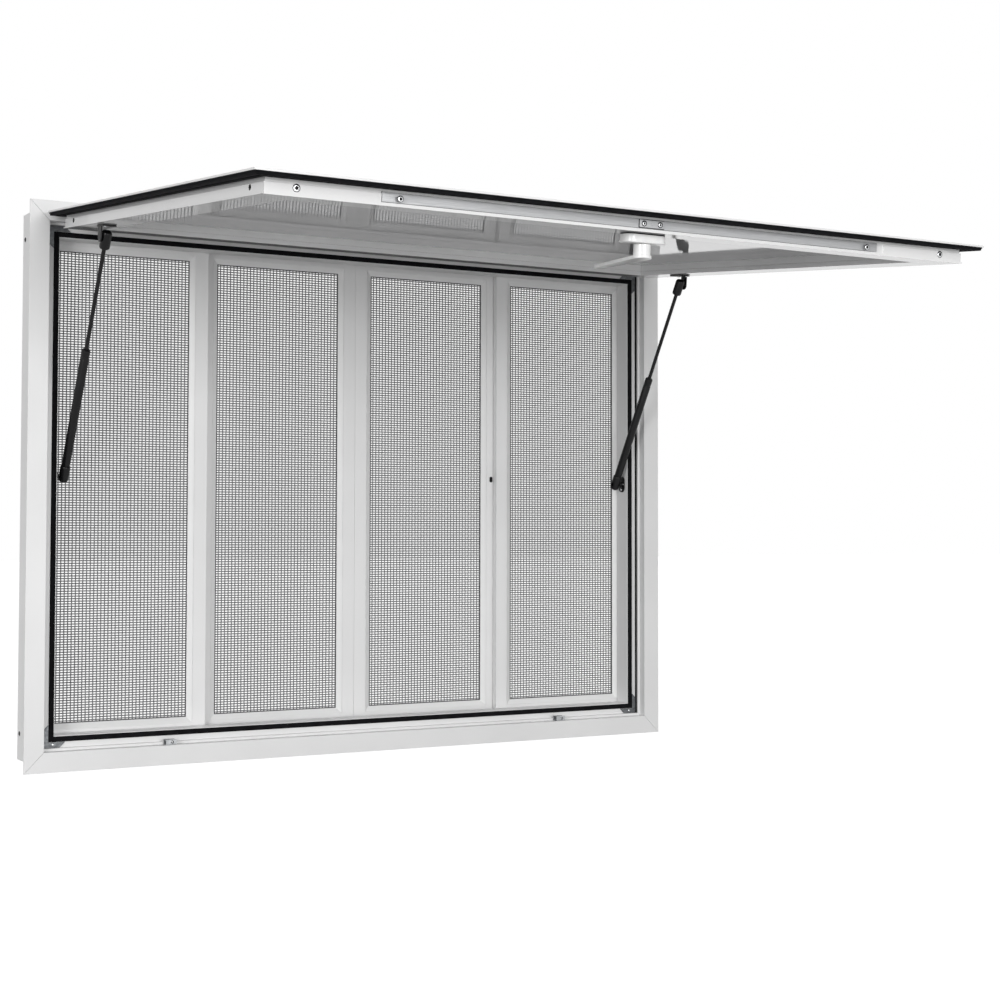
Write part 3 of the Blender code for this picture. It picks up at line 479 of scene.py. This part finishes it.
gasketSettings = {
    "width": 0.0084, "foot": 0.0009, "shoulder": 0.0005, "lip": 0.0022, "groove": 0.0011, "wall": 0.7,
}
sealSettings = {
    "width": 0.020, "foot": 0.0016, "shoulder": 0.0009, "lip": 0.0062, "groove": 0.0014, "wall": 0.7,
}  # wall is the upright share of the rise above the foot


def ribbedRing(name, low, high, settings, facing):
    # facing is -1 where the lips look along -y, and 1 where they look along +y
    deselectAll()
    base = high.y if facing < 0 else low.y
    centre = ((low.x + high.x) / 2, base, (low.z + high.z) / 2)
    bpy.ops.mesh.primitive_plane_add(size=1, location=centre, rotation=(-facing * math.pi / 2, 0, 0))
    piece = added(name)
    piece.scale = (high.x - low.x, high.z - low.z, 1)
    settle(piece)
    bpy.ops.object.mode_set(mode="EDIT")
    bpy.ops.mesh.select_mode(type="FACE")
    bpy.ops.mesh.select_all(action="SELECT")
    bpy.ops.mesh.inset(thickness=settings["width"], depth=0)
    bpy.ops.mesh.delete(type="FACE")
    bpy.ops.mesh.select_all(action="SELECT")
    foot, wall = settings["foot"], settings["wall"]
    rise = high.y - low.y - foot
    bpy.ops.mesh.extrude_region_move(TRANSFORM_OT_translate={"value": (0, facing * foot, 0)})
    bpy.ops.mesh.inset(thickness=settings["shoulder"], depth=0)
    bpy.ops.mesh.extrude_region_move(TRANSFORM_OT_translate={"value": (0, facing * rise * wall, 0)})
    bpy.ops.mesh.inset(thickness=settings["shoulder"], depth=rise * (1 - wall))
    bpy.ops.mesh.inset(thickness=settings["lip"] - settings["shoulder"], depth=0)
    bpy.ops.mesh.inset(thickness=settings["shoulder"] * 0.6, depth=-settings["groove"])
    deselectAll()
    return piece


gasket = ribbedRing("ribbed_gasket", *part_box("frame_gasket"), gasketSettings, -1)
finishPiece(gasket, "frame", rubber, ("frame_gasket",))
seal = ribbedRing("ribbed_seal", *awningBox("awning_seal"), sealSettings, 1)
move(seal, awningOpen)
finishPiece(seal, "awning", rubber, ("awning_seal",))


# ---- splines: the soft grey strip round each screen that holds the mesh in its sash; its dark grey, laid over the mesh's edge, also paints the shade along the edge of each screen

splineSettings = {"tucked": 0.0024, "width": 0.0022, "height": 0.0011}


def screenSpline(index):
    low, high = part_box(f"screen_{index}")
    height, tucked = splineSettings["height"], splineSettings["tucked"]
    deselectAll()
    bpy.ops.mesh.primitive_plane_add(size=1, rotation=(math.pi / 2, 0, 0))
    spline = added(f"screen_spline_{index}")
    spline.location = ((low.x + high.x) / 2, low.y - height, (low.z + high.z) / 2)
    spline.scale = (high.x - low.x - 2 * tucked, high.z - low.z - 2 * tucked, 1)
    settle(spline)
    bpy.ops.object.mode_set(mode="EDIT")
    bpy.ops.mesh.select_mode(type="FACE")
    bpy.ops.mesh.select_all(action="SELECT")
    bpy.ops.mesh.inset(thickness=splineSettings["width"], depth=0)
    bpy.ops.mesh.delete(type="FACE")
    deselectAll()
    applyModifier(spline, "SOLIDIFY", thickness=height, offset=0.0)
    softenEdges(spline, height * 0.4, 2, 40)
    finishPiece(spline, "frame", splineVinylAndShade, (), 40)


for index in (1, 2, 3, 4):
    screenSpline(index)


# ---- painted shadow: a thin black strip up the corner of each jamb, standing for the shadow in the gap between the reveal and the seat

jambShadowSettings = {"inset": 0.0364, "width": 0.0012, "depth": 0.0052, "seat": 0.022}


def jambShadowStrips():
    low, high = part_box("frame_left_jamb")
    wide, deep, inset = (jambShadowSettings[key] for key in ("width", "depth", "inset"))
    tall = high.z - low.z - 2 * inset
    for label, side in (("left", -1), ("right", 1)):
        edge = abs(low.x) - inset
        shadowStrip = roundedPlate(f"jamb_shadow_strip_{label}", (wide, deep, tall), wide * 0.3, 2)
        place = (side * (edge - wide / 2), jambShadowSettings["seat"] - deep * 0.48, (low.z + high.z) / 2)
        # the black rubber finish here paints the shadow in the gap
        finishPiece(move(shadowStrip, Matrix.Translation(place)), "frame", rubber, (), 30)


jambShadowStrips()
print("seals made")


# ---- screws: a turned button head with a hexagon hole, over a black disc that paints the shadow round and under the head

# seat is the radius of the black disc under each head, a painted shadow round and under the head
screwSettings = {
    "front": {"radius": 0.0044, "height": 0.0007, "socket": 0.0026, "seat": 0.0051},
    "cam": {"radius": 0.0037, "height": 0.0007, "socket": 0.0022, "seat": 0.0043},
    "plate": {"radius": 0.0029, "height": 0.0006, "socket": 0.0016, "seat": 0.0041},
    "railSide": {"radius": 0.0030, "height": 0.0008, "socket": 0.0016, "seat": 0.0038},
    "frameSide": {"radius": 0.0034, "height": 0.0010, "socket": 0.0016, "seat": 0.0040},
    "bracket": {"radius": 0.0024, "height": 0.0010, "socket": 0.0011, "seat": 0.0030},
    "keeper": {"radius": 0.0014, "height": 0.0004, "socket": 0.0009, "seat": 0.0024},
}
faceSettings = {
    "frontPlaces": (-0.5202, 0.5205),  # along the front rail
    "platePlaces": (-0.0155, 0.0106),
    "sidePlaces": (0.0739, 0.8067),  # reach along the side rails
    "jambPlaces": (0.0492, 0.8529),  # heights on the sides of the frame
    "camFromEnd": 0.023,
    "camLevel": 0.0165,  # depth of the cams' centres in the shut awning
    "keeperAlong": 0.62,  # share of the keeper's length
    "railScrewDepth": 0.0155,  # depth of the screws in the rails of the shut awning
    "railLip": 0.002,  # how far the side rails' lips stand out
    "boxInset": 0.0135,  # from the flange's edge to the side of the box behind it
    "boxScrewDepth": 0.074,
    "rolls": {"plate": 0.4, "cam": 0.3, "railSide": 0.5, "frameSide": 0.2},  # how the sockets are turned
}


def hexScrew(name, radius, height, socket, sides=24):
    head = turned(name, [(-0.0002, radius * 0.96), (0.0, radius), (height * 0.45, radius),
                         (height * 0.8, radius * 0.9), (height, radius * 0.78)], sides)
    deselectAll()
    bpy.ops.mesh.primitive_cylinder_add(vertices=6, radius=socket, depth=height * 4)
    cutter = added("socketCutter")
    settle(cutter)
    cutWith(head, cutter)
    return head


# a black disc a little wider than a screw head: painted shadow round and under the head
def paintedScrewShadow(name, radius, sides=24):
    return turned(name, [(-0.0005, radius), (0.0001, radius), (0.00022, radius * 0.95),
                         (0.00012, radius * 0.5)], sides)


def placeScrew(kind, name, matrix, body, finish=None):
    head, seat = screwMasters[kind]
    finishPiece(copyOf(head, name, matrix), body, finish or screwSteel)
    # the black disc under the head is painted shadow
    finishPiece(copyOf(seat, name + "_shadow_disc", matrix), body, paintedShadeBlack)


screwMasters = {}
for kind, item in screwSettings.items():
    screwMasters[kind] = (hexScrew(kind + "Screw", item["radius"], item["height"], item["socket"]),
                          paintedScrewShadow(kind + "Seat", item["seat"]))

railFront = awningBox("awning_front_rail")[0].z
barLow, barHigh = awningBox("lock_bar")
plateLow, plateHigh = awningBox("lock_plate")
plateMiddle = (plateLow + plateHigh) / 2
rolls = faceSettings["rolls"]
for index, x in enumerate(faceSettings["frontPlaces"], start=1):
    face = (x, faceSettings["railScrewDepth"], railFront)
    placeScrew("front", f"front_screw_{index}", awningOpen @ axisTo(face, (0, 0, -1)), "awning")
for index, x in enumerate(faceSettings["platePlaces"], start=1):
    place = awningOpen @ axisTo((x, plateMiddle.y, plateLow.z), (0, 0, -1), rolls["plate"] * index)
    placeScrew("plate", f"plate_screw_{index}", place, "lock_bar")
camPlaces = {-1: barLow.x + faceSettings["camFromEnd"], 1: barHigh.x - faceSettings["camFromEnd"]}
for label, side in (("left", -1), ("right", 1)):
    face = (camPlaces[side], faceSettings["camLevel"], barLow.z)
    place = awningOpen @ axisTo(face, (0, 0, -1), rolls["cam"])
    placeScrew("cam", f"cam_screw_{label}", place, "lock_bar")
    railFace = side * (awningBox("awning_right_rail")[1].x - faceSettings["railLip"])
    for index, reach in enumerate(faceSettings["sidePlaces"], start=1):
        face = (railFace, faceSettings["railScrewDepth"], -reach)
        place = awningOpen @ axisTo(face, (side, 0, 0), rolls["railSide"])
        placeScrew("railSide", f"rail_screw_{label}_{index}", place, "awning", rodBlack)
    boxFace = side * (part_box("frame_right_jamb")[1].x - faceSettings["boxInset"])
    for index, level in enumerate(faceSettings["jambPlaces"], start=1):
        face = (boxFace, faceSettings["boxScrewDepth"], level)
        place = axisTo(face, (side, 0, 0), rolls["frameSide"])
        placeScrew("frameSide", f"frame_screw_{label}_{index}", place, "frame", rodBlack)
    low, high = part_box(f"keeper_{label}")
    along = low.x + (high.x - low.x) * faceSettings["keeperAlong"]
    place = axisTo((along, low.y, (low.z + high.z) / 2), (0, -1, 0))
    placeScrew("keeper", f"keeper_screw_{label}", place, "frame")
print("screws placed")


# ---- gas struts: turned cylinder and rod, each with a moulded socket that a stud runs through

strutSettings = {
    "length": 0.417603,  # from stud to stud with the awning open
    "socketBack": 0.010,
    "socketFront": 0.019,
    "socketRadius": 0.0082,
    "tubeRadius": 0.007,
    "tubeEnd": 0.2275,
    "rodRadius": 0.0032,
    "rodOverlap": 0.020,
    "boreGap": 0.0004,
    "studHole": 0.0039,
}


def socketStations():
    back, front, radius = (strutSettings[key] for key in ("socketBack", "socketFront", "socketRadius"))
    return [(-back, radius * 0.62), (-back * 0.95, radius * 0.78), (-back * 0.82, radius * 0.91),
            (-back * 0.6, radius), (front - 0.0035, radius), (front - 0.0016, radius * 0.96),
            (front - 0.0004, radius * 0.86)]


def drillStud(piece, turn):  # the hole for the stud, across the socket
    deselectAll()
    bpy.ops.mesh.primitive_cylinder_add(vertices=24, radius=strutSettings["studHole"], depth=0.03,
                                        rotation=(0, math.pi / 2, 0))
    drill = added("studDrill")
    settle(drill)
    cutWith(piece, move(drill, turn))
    return piece


def buildStrut(label):
    top = Vector(jointNamed(f"{label}_strut_pivot")["pos_m"])
    along = Vector(jointNamed(f"{label}_strut_slide")["axis"]).normalized()
    foot = top - along * strutSettings["length"]
    tube, end = strutSettings["tubeRadius"], strutSettings["tubeEnd"]
    front, rod = strutSettings["socketFront"], strutSettings["rodRadius"]
    bore = rod + strutSettings["boreGap"]
    stations = socketStations() + [
        (front, tube * 0.82), (front + 0.0008, tube * 0.82),
        (front + 0.0016, tube * 0.97), (front + 0.0026, tube),
        (end - 0.0160, tube), (end - 0.0152, tube * 0.94),
        (end - 0.0142, tube * 0.94), (end - 0.0134, tube),
        (end - 0.0030, tube), (end - 0.0012, tube * 0.93),
        (end, tube * 0.74), (end, bore), (front + 0.004, bore),
    ]
    cylinder = turned(f"gas_cylinder_{label}", stations, 40)
    drillStud(cylinder, Matrix.Identity(4))
    upright = Vector((0, 0, 1))
    straight = Matrix.Translation(foot) @ upright.rotation_difference(along).to_matrix().to_4x4()
    finishPiece(move(cylinder, straight), f"{label}_cylinder", enamel,
                (f"strut_cylinder_{label}",), 32)
    rodEnd = strutSettings["length"] - end + strutSettings["rodOverlap"]
    stations = socketStations() + [
        (front, rod * 1.5), (front + 0.0012, rod * 1.3), (front + 0.0016, rod),
        (rodEnd - 0.0006, rod), (rodEnd, rod * 0.8),
    ]
    rodPiece = turned(f"gas_rod_{label}", stations, 36)
    drillStud(rodPiece, Matrix.Identity(4))
    hanging = Matrix.Translation(top) @ upright.rotation_difference(-along).to_matrix().to_4x4()
    finishPiece(move(rodPiece, hanging), f"{label}_rod", rodBlack,
                (f"strut_rod_{label}",), 32)
    return foot


# ---- strut brackets: a slotted plate with an ear under the rail, a tongue on the jamb, a stud on both

bracketSettings = {
    "plate": (0.022, 0.0020, 0.036),
    "round": 0.004,
    "slot": (0.0046, 0.0090),
    "slotFromEdge": 0.0075,
    "slotAside": 0.004,  # from the plate's middle, away from the ear
    "screwAside": 0.0062,
    "screwFromEdge": 0.0065,
    "rivetForward": 0.0064,
    "jambScrewFromEnd": 0.0048,
    "ear": 0.0020,
    "earRadius": 0.008,
    "studRadius": 0.0035,
    "tongue": (0.018, 0.030),
}


def topBracket(label, side):
    low, high = awningBox(f"strut_top_bracket_{label}")
    pivot = awningOpen.inverted() @ Vector(jointNamed(f"{label}_strut_pivot")["pos_m"])
    size = bracketSettings["plate"]
    outer = high.x if side > 0 else low.x
    centre = Vector((outer - side * size[0] / 2, low.y + size[1] / 2, pivot.z))
    plate = roundedPlate(f"rail_bracket_{label}", size, bracketSettings["round"], 1)
    move(plate, Matrix.Translation(centre))
    for end in (-1, 1):
        slotSize = (bracketSettings["slot"][1], size[1] * 3, bracketSettings["slot"][0])
        slot = roundedPlate("slotCutter", slotSize, slotSize[2] * 0.48, 1)
        along = end * (size[2] / 2 - bracketSettings["slotFromEdge"])
        middle = centre + Vector((-side * bracketSettings["slotAside"], 0, along))
        cutWith(plate, move(slot, Matrix.Translation(middle)))
    radius, thick = bracketSettings["earRadius"], bracketSettings["ear"]
    deselectAll()
    bpy.ops.mesh.primitive_cylinder_add(vertices=40, radius=radius, depth=thick,
                                        rotation=(0, math.pi / 2, 0),
                                        location=(outer - side * thick / 2, pivot.y, pivot.z))
    ear = added("ear")
    settle(ear)
    pick(ear, "VERT", lambda point: point.y < pivot.y + 0.0001)
    middleLevel = low.y + size[1] / 2
    bpy.ops.transform.translate(value=(0, middleLevel - pivot.y, 0))
    bpy.ops.transform.resize(value=(1, 0, 1), center_override=(outer, middleLevel, pivot.z))
    deselectAll()
    joinWith(plate, ear)
    length = abs(outer - pivot.x) + strutSettings["socketRadius"]
    thin = bracketSettings["studRadius"]
    stud = turned("stud", [(0.0004, thin), (length - 0.0012, thin), (length - 0.0004, thin * 0.8)], 24)
    joinWith(plate, move(stud, axisTo((outer, pivot.y, pivot.z), (-side, 0, 0))))
    softenEdges(plate, 0.0003)
    finishPiece(move(plate, awningOpen), "awning", enamel,
                (f"strut_top_bracket_{label}",))
    for index, end in enumerate((-1, 1), start=1):
        along = end * (size[2] / 2 - bracketSettings["screwFromEdge"])
        under = centre + Vector((side * bracketSettings["screwAside"], size[1] / 2, along))
        place = awningOpen @ axisTo(under, (0, 1, 0), 0.6 * index)
        placeScrew("bracket", f"bracket_screw_{label}_{index}", place, "awning")


def footBracket(label, side, foot):
    low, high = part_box(f"strut_foot_bracket_{label}")
    wall = high.x if side > 0 else low.x
    wide, tall = bracketSettings["tongue"]
    thick = bracketSettings["plate"][1]
    tongue = roundedPlate(f"jamb_bracket_{label}", (thick, wide, tall), wide * 0.46, 0)
    move(tongue, Matrix.Translation((wall - side * thick / 2, foot.y, foot.z)))
    reach = abs(wall) - (low.x if side > 0 else -high.x)
    radius = bracketSettings["studRadius"]
    stud = turned("footStud", [(0.0004, radius * 1.45), (0.0042, radius * 1.45), (0.0047, radius * 1.35),
                               (0.0047, radius), (reach - 0.0004, radius), (reach, radius * 0.85)], 32)
    joinWith(tongue, move(stud, axisTo((wall, foot.y, foot.z), (-side, 0, 0))))
    softenEdges(tongue, 0.00025)
    finishPiece(tongue, "frame", enamel, (f"strut_foot_bracket_{label}",))
    screwLevel = foot.z - tall / 2 + bracketSettings["jambScrewFromEnd"]
    screwFace = (wall - side * thick, foot.y, screwLevel)
    placeScrew("bracket", f"jamb_screw_{label}", axisTo(screwFace, (-side, 0, 0)), "frame")
    rivet = turned(f"jamb_rivet_{label}", [(-0.0003, 0.0016), (0.0003, 0.0016), (0.0007, 0.0012),
                                           (0.0009, 0.0006)], 20)
    rivetFace = (screwFace[0], foot.y - bracketSettings["rivetForward"], foot.z)
    finishPiece(move(rivet, axisTo(rivetFace, (-side, 0, 0))), "frame", screwSteel)


for label, side in (("left", -1), ("right", 1)):
    foot = buildStrut(label)
    topBracket(label, side)
    footBracket(label, side, foot)
print("struts built")


# ---- lever handle: a rounded base with a rim, and a lever on a round neck

handleSettings = {
    "baseRound": 0.0115,
    "baseEdge": 0.0016,
    "rim": 0.0011,
    "rimHeight": 0.0022,
    "rimBelowTop": 0.0007,
    "gasketInset": 0.0015,
    "neckRadius": 0.012,
    "neckHeight": 0.0155,
    "leverLength": 0.104,
    "leverThick": 0.005,
    "leverDrop": 0.009,
    "gasket": 0.0009,
    "rootRadius": 0.0135,
    "tipRadius": 0.0085,
    "edge": 0.0013,
}


def buildHandle():
    low, high = awningBox("handle_base")
    size, centre = high - low, (low + high) / 2
    rim, gap = handleSettings["rim"], handleSettings["gasket"]
    rounding, rimHeight = handleSettings["baseRound"], handleSettings["rimHeight"]
    inset = 2 * handleSettings["gasketInset"]
    pad = roundedPlate("handle_gasket", (size.x - inset, gap * 1.4, size.z - inset), rounding, 1)
    move(pad, Matrix.Translation((centre.x, low.y + gap * 0.7, centre.z)))
    softenEdges(pad, 0.0002)
    finishPiece(move(pad, awningOpen), "awning", rubber, (), 30)
    mountSize = (size.x - 2 * rim, size.y - gap, size.z - 2 * rim)
    base = roundedPlate("handle_mount", mountSize, rounding, 1)
    move(base, Matrix.Translation((centre.x, centre.y + gap / 2, centre.z)))
    softenEdges(base, handleSettings["baseEdge"], 4)
    foot = roundedPlate("rim", (size.x, rimHeight, size.z), rounding + rim, 1)
    rimLevel = high.y - rimHeight / 2 - handleSettings["rimBelowTop"]
    move(foot, Matrix.Translation((centre.x, rimLevel, centre.z)))
    softenEdges(foot, 0.0006, 2)
    joinWith(base, foot)
    finishPiece(move(base, awningOpen), "awning", handleGloss, ("handle_base",), 30)

    leverLow = awningBox("handle_lever")[0]
    neck, height = handleSettings["neckRadius"], handleSettings["neckHeight"]
    root, tip = handleSettings["rootRadius"], handleSettings["tipRadius"]
    thick, edge, length = (handleSettings[key] for key in ("leverThick", "edge", "leverLength"))
    lever = turned("turning_lever", [(0, neck * 0.95), (0.0006, neck), (height + thick * 0.45, neck),
                                     (height + thick * 0.5, neck * 0.97)], 48)
    deselectAll()
    bpy.ops.mesh.primitive_circle_add(vertices=48, radius=root, fill_type="NGON")
    arm = added("arm")
    pick(arm, "VERT", lambda point: point.y > 0.0001)
    bpy.ops.transform.resize(value=(tip / root, tip / root, 1), center_override=(0, 0, 0))
    bpy.ops.transform.translate(value=(0, length, 0))
    bpy.ops.mesh.select_all(action="SELECT")
    bpy.ops.mesh.extrude_region_move(TRANSFORM_OT_translate={"value": (0, 0, thick)})
    deselectAll()
    cleanUp(arm)
    softenEdges(arm, edge, 4, 50)
    slope = Matrix.Rotation(math.atan(handleSettings["leverDrop"] / length), 4, "X")
    move(arm, Matrix.Translation((0, 0, height)) @ slope)
    joinWith(lever, arm)
    # z of the turned lever points down from the rail, and its arm (y) runs back towards the hinge
    swapAxes = Matrix(((1, 0, 0, 0), (0, 0, 1, 0), (0, 1, 0, 0), (0, 0, 0, 1)))
    standing = Matrix.Translation((centre.x, leverLow.y, centre.z)) @ swapAxes
    finishPiece(move(lever, awningOpen @ standing), "lever", handleGloss,
                ("handle_lever",), 30)


buildHandle()
print("handle built")


# ---- lock: bar with mushroom cams, middle plate with a dimple; sash lock with a bezel; rivets

# black sheets a little larger than the lock bar and the middle plate: a painted shadow outline round
# their edges
shadowOutlineSettings = {
    "thick": 0.0004, "barSide": 0.0004, "barEdge": 0.00035, "barLift": 0.00018, "plateSide": 0.0008,
}
plateSettings = {"corner": 0.0012, "edge": 0.0002, "dimpleRadius": 0.0022, "dimpleLift": 0.0014}
lockSettings = {
    "width": 0.0124,
    "thick": 0.0022,
    "camStem": 0.0025,
    "camHead": 0.0043,
    "stemLength": 0.0042,
    "headHeight": 0.0018,
    "edge": 0.0004,
}
bezelSettings = {"width": 0.0007, "slope": 0.0002, "sink": 0.0006}
rivetSettings = {"radius": 0.0022, "height": 0.0009, "fromSide": 0.016, "fromSill": 0.0046}


def buildLockBar():
    thick = lockSettings["thick"]
    bar = roundedPlate("sliding_bar", (barHigh.x - barLow.x, lockSettings["width"], thick), 0.0004, 2)
    middle = Vector(((barLow.x + barHigh.x) / 2, (barLow.y + barHigh.y) / 2, barHigh.z - thick / 2))
    move(bar, Matrix.Translation(middle))
    softenEdges(bar, lockSettings["edge"])
    stem, head, neck = (lockSettings[key] for key in ("camStem", "camHead", "stemLength"))
    top = neck + lockSettings["headHeight"]
    stations = [(-0.0005, stem), (neck, stem), (neck + 0.0001, head * 0.94), (neck + 0.0005, head),
                (top - 0.0006, head), (top - 0.0002, head * 0.93), (top - 0.0001, head * 0.86)]
    for camX in camPlaces.values():
        cam = turned("cam", stations, 32)
        joinWith(bar, move(cam, axisTo((camX, faceSettings["camLevel"], railFront), (0, 0, -1))))
    finishPiece(move(bar, awningOpen), "lock_bar", brushed, ("lock_bar",), 30)
    # a black sheet behind the bar, showing as a painted shadow line round it
    shadowSheetSize = (barHigh.x - barLow.x + 2 * shadowOutlineSettings["barSide"],
               lockSettings["width"] + 2 * shadowOutlineSettings["barEdge"], shadowOutlineSettings["thick"])
    shadowSheet = roundedPlate("bar_shadow_sheet", shadowSheetSize, 0.0002, 2)
    move(shadowSheet, Matrix.Translation((middle.x, middle.y, barHigh.z + shadowOutlineSettings["barLift"])))
    softenEdges(shadowSheet, 0.0001)
    finishPiece(move(shadowSheet, awningOpen), "lock_bar", paintedShadeBlack, (), 30)


def buildLockPlate():
    size = plateHigh - plateLow
    side = 2 * shadowOutlineSettings["plateSide"]
    plate = roundedPlate("middle_plate", size, plateSettings["corner"], 2)
    move(plate, Matrix.Translation(plateMiddle))
    softenEdges(plate, plateSettings["edge"])
    # a black sheet behind the plate, showing as a painted shadow line round it
    shadowSheet = roundedPlate("plate_shadow_sheet", (size.x + side, size.y + side, shadowOutlineSettings["thick"]), 0.0014, 2)
    move(shadowSheet, Matrix.Translation((plateMiddle.x, plateMiddle.y, plateHigh.z)))
    softenEdges(shadowSheet, 0.0001)
    finishPiece(move(shadowSheet, awningOpen), "lock_bar", paintedShadeBlack, (), 30)
    deselectAll()
    dimpleLevel = plateLow.z - plateSettings["dimpleLift"]
    bpy.ops.mesh.primitive_uv_sphere_add(segments=20, ring_count=10, radius=plateSettings["dimpleRadius"],
                                         location=(plateMiddle.x, plateMiddle.y, dimpleLevel))
    dimple = added("dimple")
    settle(dimple)
    cutWith(plate, dimple)
    finishPiece(move(plate, awningOpen), "lock_bar", brushed, ("lock_plate",), 30)


def buildSashLock():
    low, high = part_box("sash_lock")
    size, centre = high - low, (low + high) / 2
    oval = roundedPlate("sash_lock_button", size, size.x * 0.49, 1)
    move(oval, Matrix.Translation(centre))
    pick(oval, "FACE", lambda middle, normal: normal.y < -0.9)
    bpy.ops.mesh.inset(thickness=bezelSettings["width"], depth=0)
    bpy.ops.mesh.inset(thickness=bezelSettings["slope"], depth=-bezelSettings["sink"])
    deselectAll()
    finishPiece(oval, "frame", enamel, ("sash_lock",), 30)


def addRivets():
    radius, height = rivetSettings["radius"], rivetSettings["height"]
    head = turned("rivet", [(-0.0005, radius), (0.0, radius), (height * 0.6, radius * 0.85),
                            (height, radius * 0.45)], 20)
    for corner, side in (("sill_left", 1), ("sill_right", -1)):
        low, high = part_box(f"corner_plate_{corner}")
        outer = low.x if side > 0 else high.x
        face = (outer + side * rivetSettings["fromSide"], low.y, low.z + rivetSettings["fromSill"])
        rivet = copyOf(head, f"rivet_{corner}", axisTo(face, (0, -1, 0)))
        finishPiece(rivet, "frame", screwSteel)
    bpy.data.objects.remove(head)


buildLockBar()
buildLockPlate()
buildSashLock()
addRivets()
for masters in screwMasters.values():
    for master in masters:
        bpy.data.objects.remove(master)
print("lock parts built")


# ---- camera, light and floor

cameraSettings = {
    "place": (-1.37394, -2.81616, 0.38956),
    "yaw": 29.598,
    "pitch": 2.195,
    "roll": 0.127,
    "lens": 64.10,
    "shift": (0.0159, -0.0440),
}
lightSettings = {
    "world": 0.39,
    "aim": (0, 0, 0.42),
    "front": {"place": (0.1, -5.0, 0.7), "size": 1.8, "watts": 70},
    "left": {"place": (-4.4, -3.6, 0.7), "size": 1.5, "watts": 78},
    "leftHigh": {"place": (-3.6, -3.4, 1.7), "size": 1.5, "watts": 28},
    "high": {"place": (-0.2, -5.0, 2.2), "size": 3.0, "watts": 27},
}
floorSettings = {"level": -0.32, "size": 60.0, "colour": "#8C8C8C", "glow": 0.9}


def makeCamera():
    camera = bpy.data.cameras.new("camera")
    camera.sensor_width = 36
    camera.lens = cameraSettings["lens"]
    camera.shift_x, camera.shift_y = cameraSettings["shift"]
    holder = bpy.data.objects.new("camera", camera)
    bpy.context.scene.collection.objects.link(holder)
    yaw, pitch, roll = [math.radians(cameraSettings[key]) for key in ("yaw", "pitch", "roll")]
    level = Matrix.Rotation(-yaw, 4, "Z") @ Matrix.Rotation(math.pi / 2 + pitch, 4, "X")
    turn = level @ Matrix.Rotation(roll, 4, "Z")
    holder.matrix_world = Matrix.Translation(cameraSettings["place"]) @ turn
    bpy.context.scene.camera = holder


def makeLamp(name, settings):
    lamp = bpy.data.lights.new(name, "AREA")
    lamp.size = settings["size"]
    lamp.energy = settings["watts"]
    holder = bpy.data.objects.new(name, lamp)
    bpy.context.scene.collection.objects.link(holder)
    aim = Vector(lightSettings["aim"]) - Vector(settings["place"])
    turn = aim.to_track_quat("-Z", "Y").to_matrix().to_4x4()
    holder.matrix_world = Matrix.Translation(settings["place"]) @ turn


def makeWorld():
    # Soft light from all sides; seen directly, in gloss or through glass it is plain white
    world = bpy.data.worlds.new("studio")
    bpy.context.scene.world = world
    world.use_nodes = True
    tree = world.node_tree
    tree.nodes.clear()
    path = addNode(tree, "ShaderNodeLightPath")
    seen = addNode(tree, "ShaderNodeMath", {"operation": "ADD"},
                   {0: path.outputs["Is Camera Ray"], 1: path.outputs["Is Glossy Ray"]})
    seenToo = addNode(tree, "ShaderNodeMath", {"operation": "ADD", "use_clamp": True},
                      {0: seen.outputs[0], 1: path.outputs["Is Transmission Ray"]})
    plain = (1, 1, 1, 1)
    soft = addNode(tree, "ShaderNodeBackground", {"Color": plain, "Strength": lightSettings["world"]})
    white = addNode(tree, "ShaderNodeBackground", {"Color": plain, "Strength": 1.0})
    mix = addNode(tree, "ShaderNodeMixShader",
                  links={0: seenToo.outputs[0], 1: soft.outputs[0], 2: white.outputs[0]})
    addNode(tree, "ShaderNodeOutputWorld", links={"Surface": mix.outputs[0]})


def makeFloor():
    deselectAll()
    bpy.ops.mesh.primitive_plane_add(size=floorSettings["size"], location=(0, 0, floorSettings["level"]))
    floor = added("floor")
    material, tree, shader = newMaterial("paleFloor", roughness=0.9)
    shader.inputs["Base Color"].default_value = linear(floorSettings["colour"])
    path = addNode(tree, "ShaderNodeLightPath")
    seen = addNode(tree, "ShaderNodeMath", {"operation": "MAXIMUM"},
                   {0: path.outputs["Is Camera Ray"], 1: path.outputs["Is Glossy Ray"]})
    glow = addNode(tree, "ShaderNodeEmission", {"Color": (1, 1, 1, 1), "Strength": floorSettings["glow"]})
    dark = addNode(tree, "ShaderNodeEmission", {"Color": (0, 0, 0, 1), "Strength": 0.0})
    pickGlow = addNode(tree, "ShaderNodeMixShader",
                       links={0: seen.outputs[0], 1: dark.outputs[0], 2: glow.outputs[0]})
    total = addNode(tree, "ShaderNodeAddShader", links={0: shader.outputs[0], 1: pickGlow.outputs[0]})
    tree.links.new(total.outputs[0], tree.nodes["Material Output"].inputs["Surface"])
    floor.data.materials.append(material)


makeCamera()
for lampName in ("front", "left", "leftHigh", "high"):
    makeLamp(lampName, lightSettings[lampName])
makeWorld()
makeFloor()
bpy.context.scene.view_settings.view_transform = "Standard"
print("camera and light made")
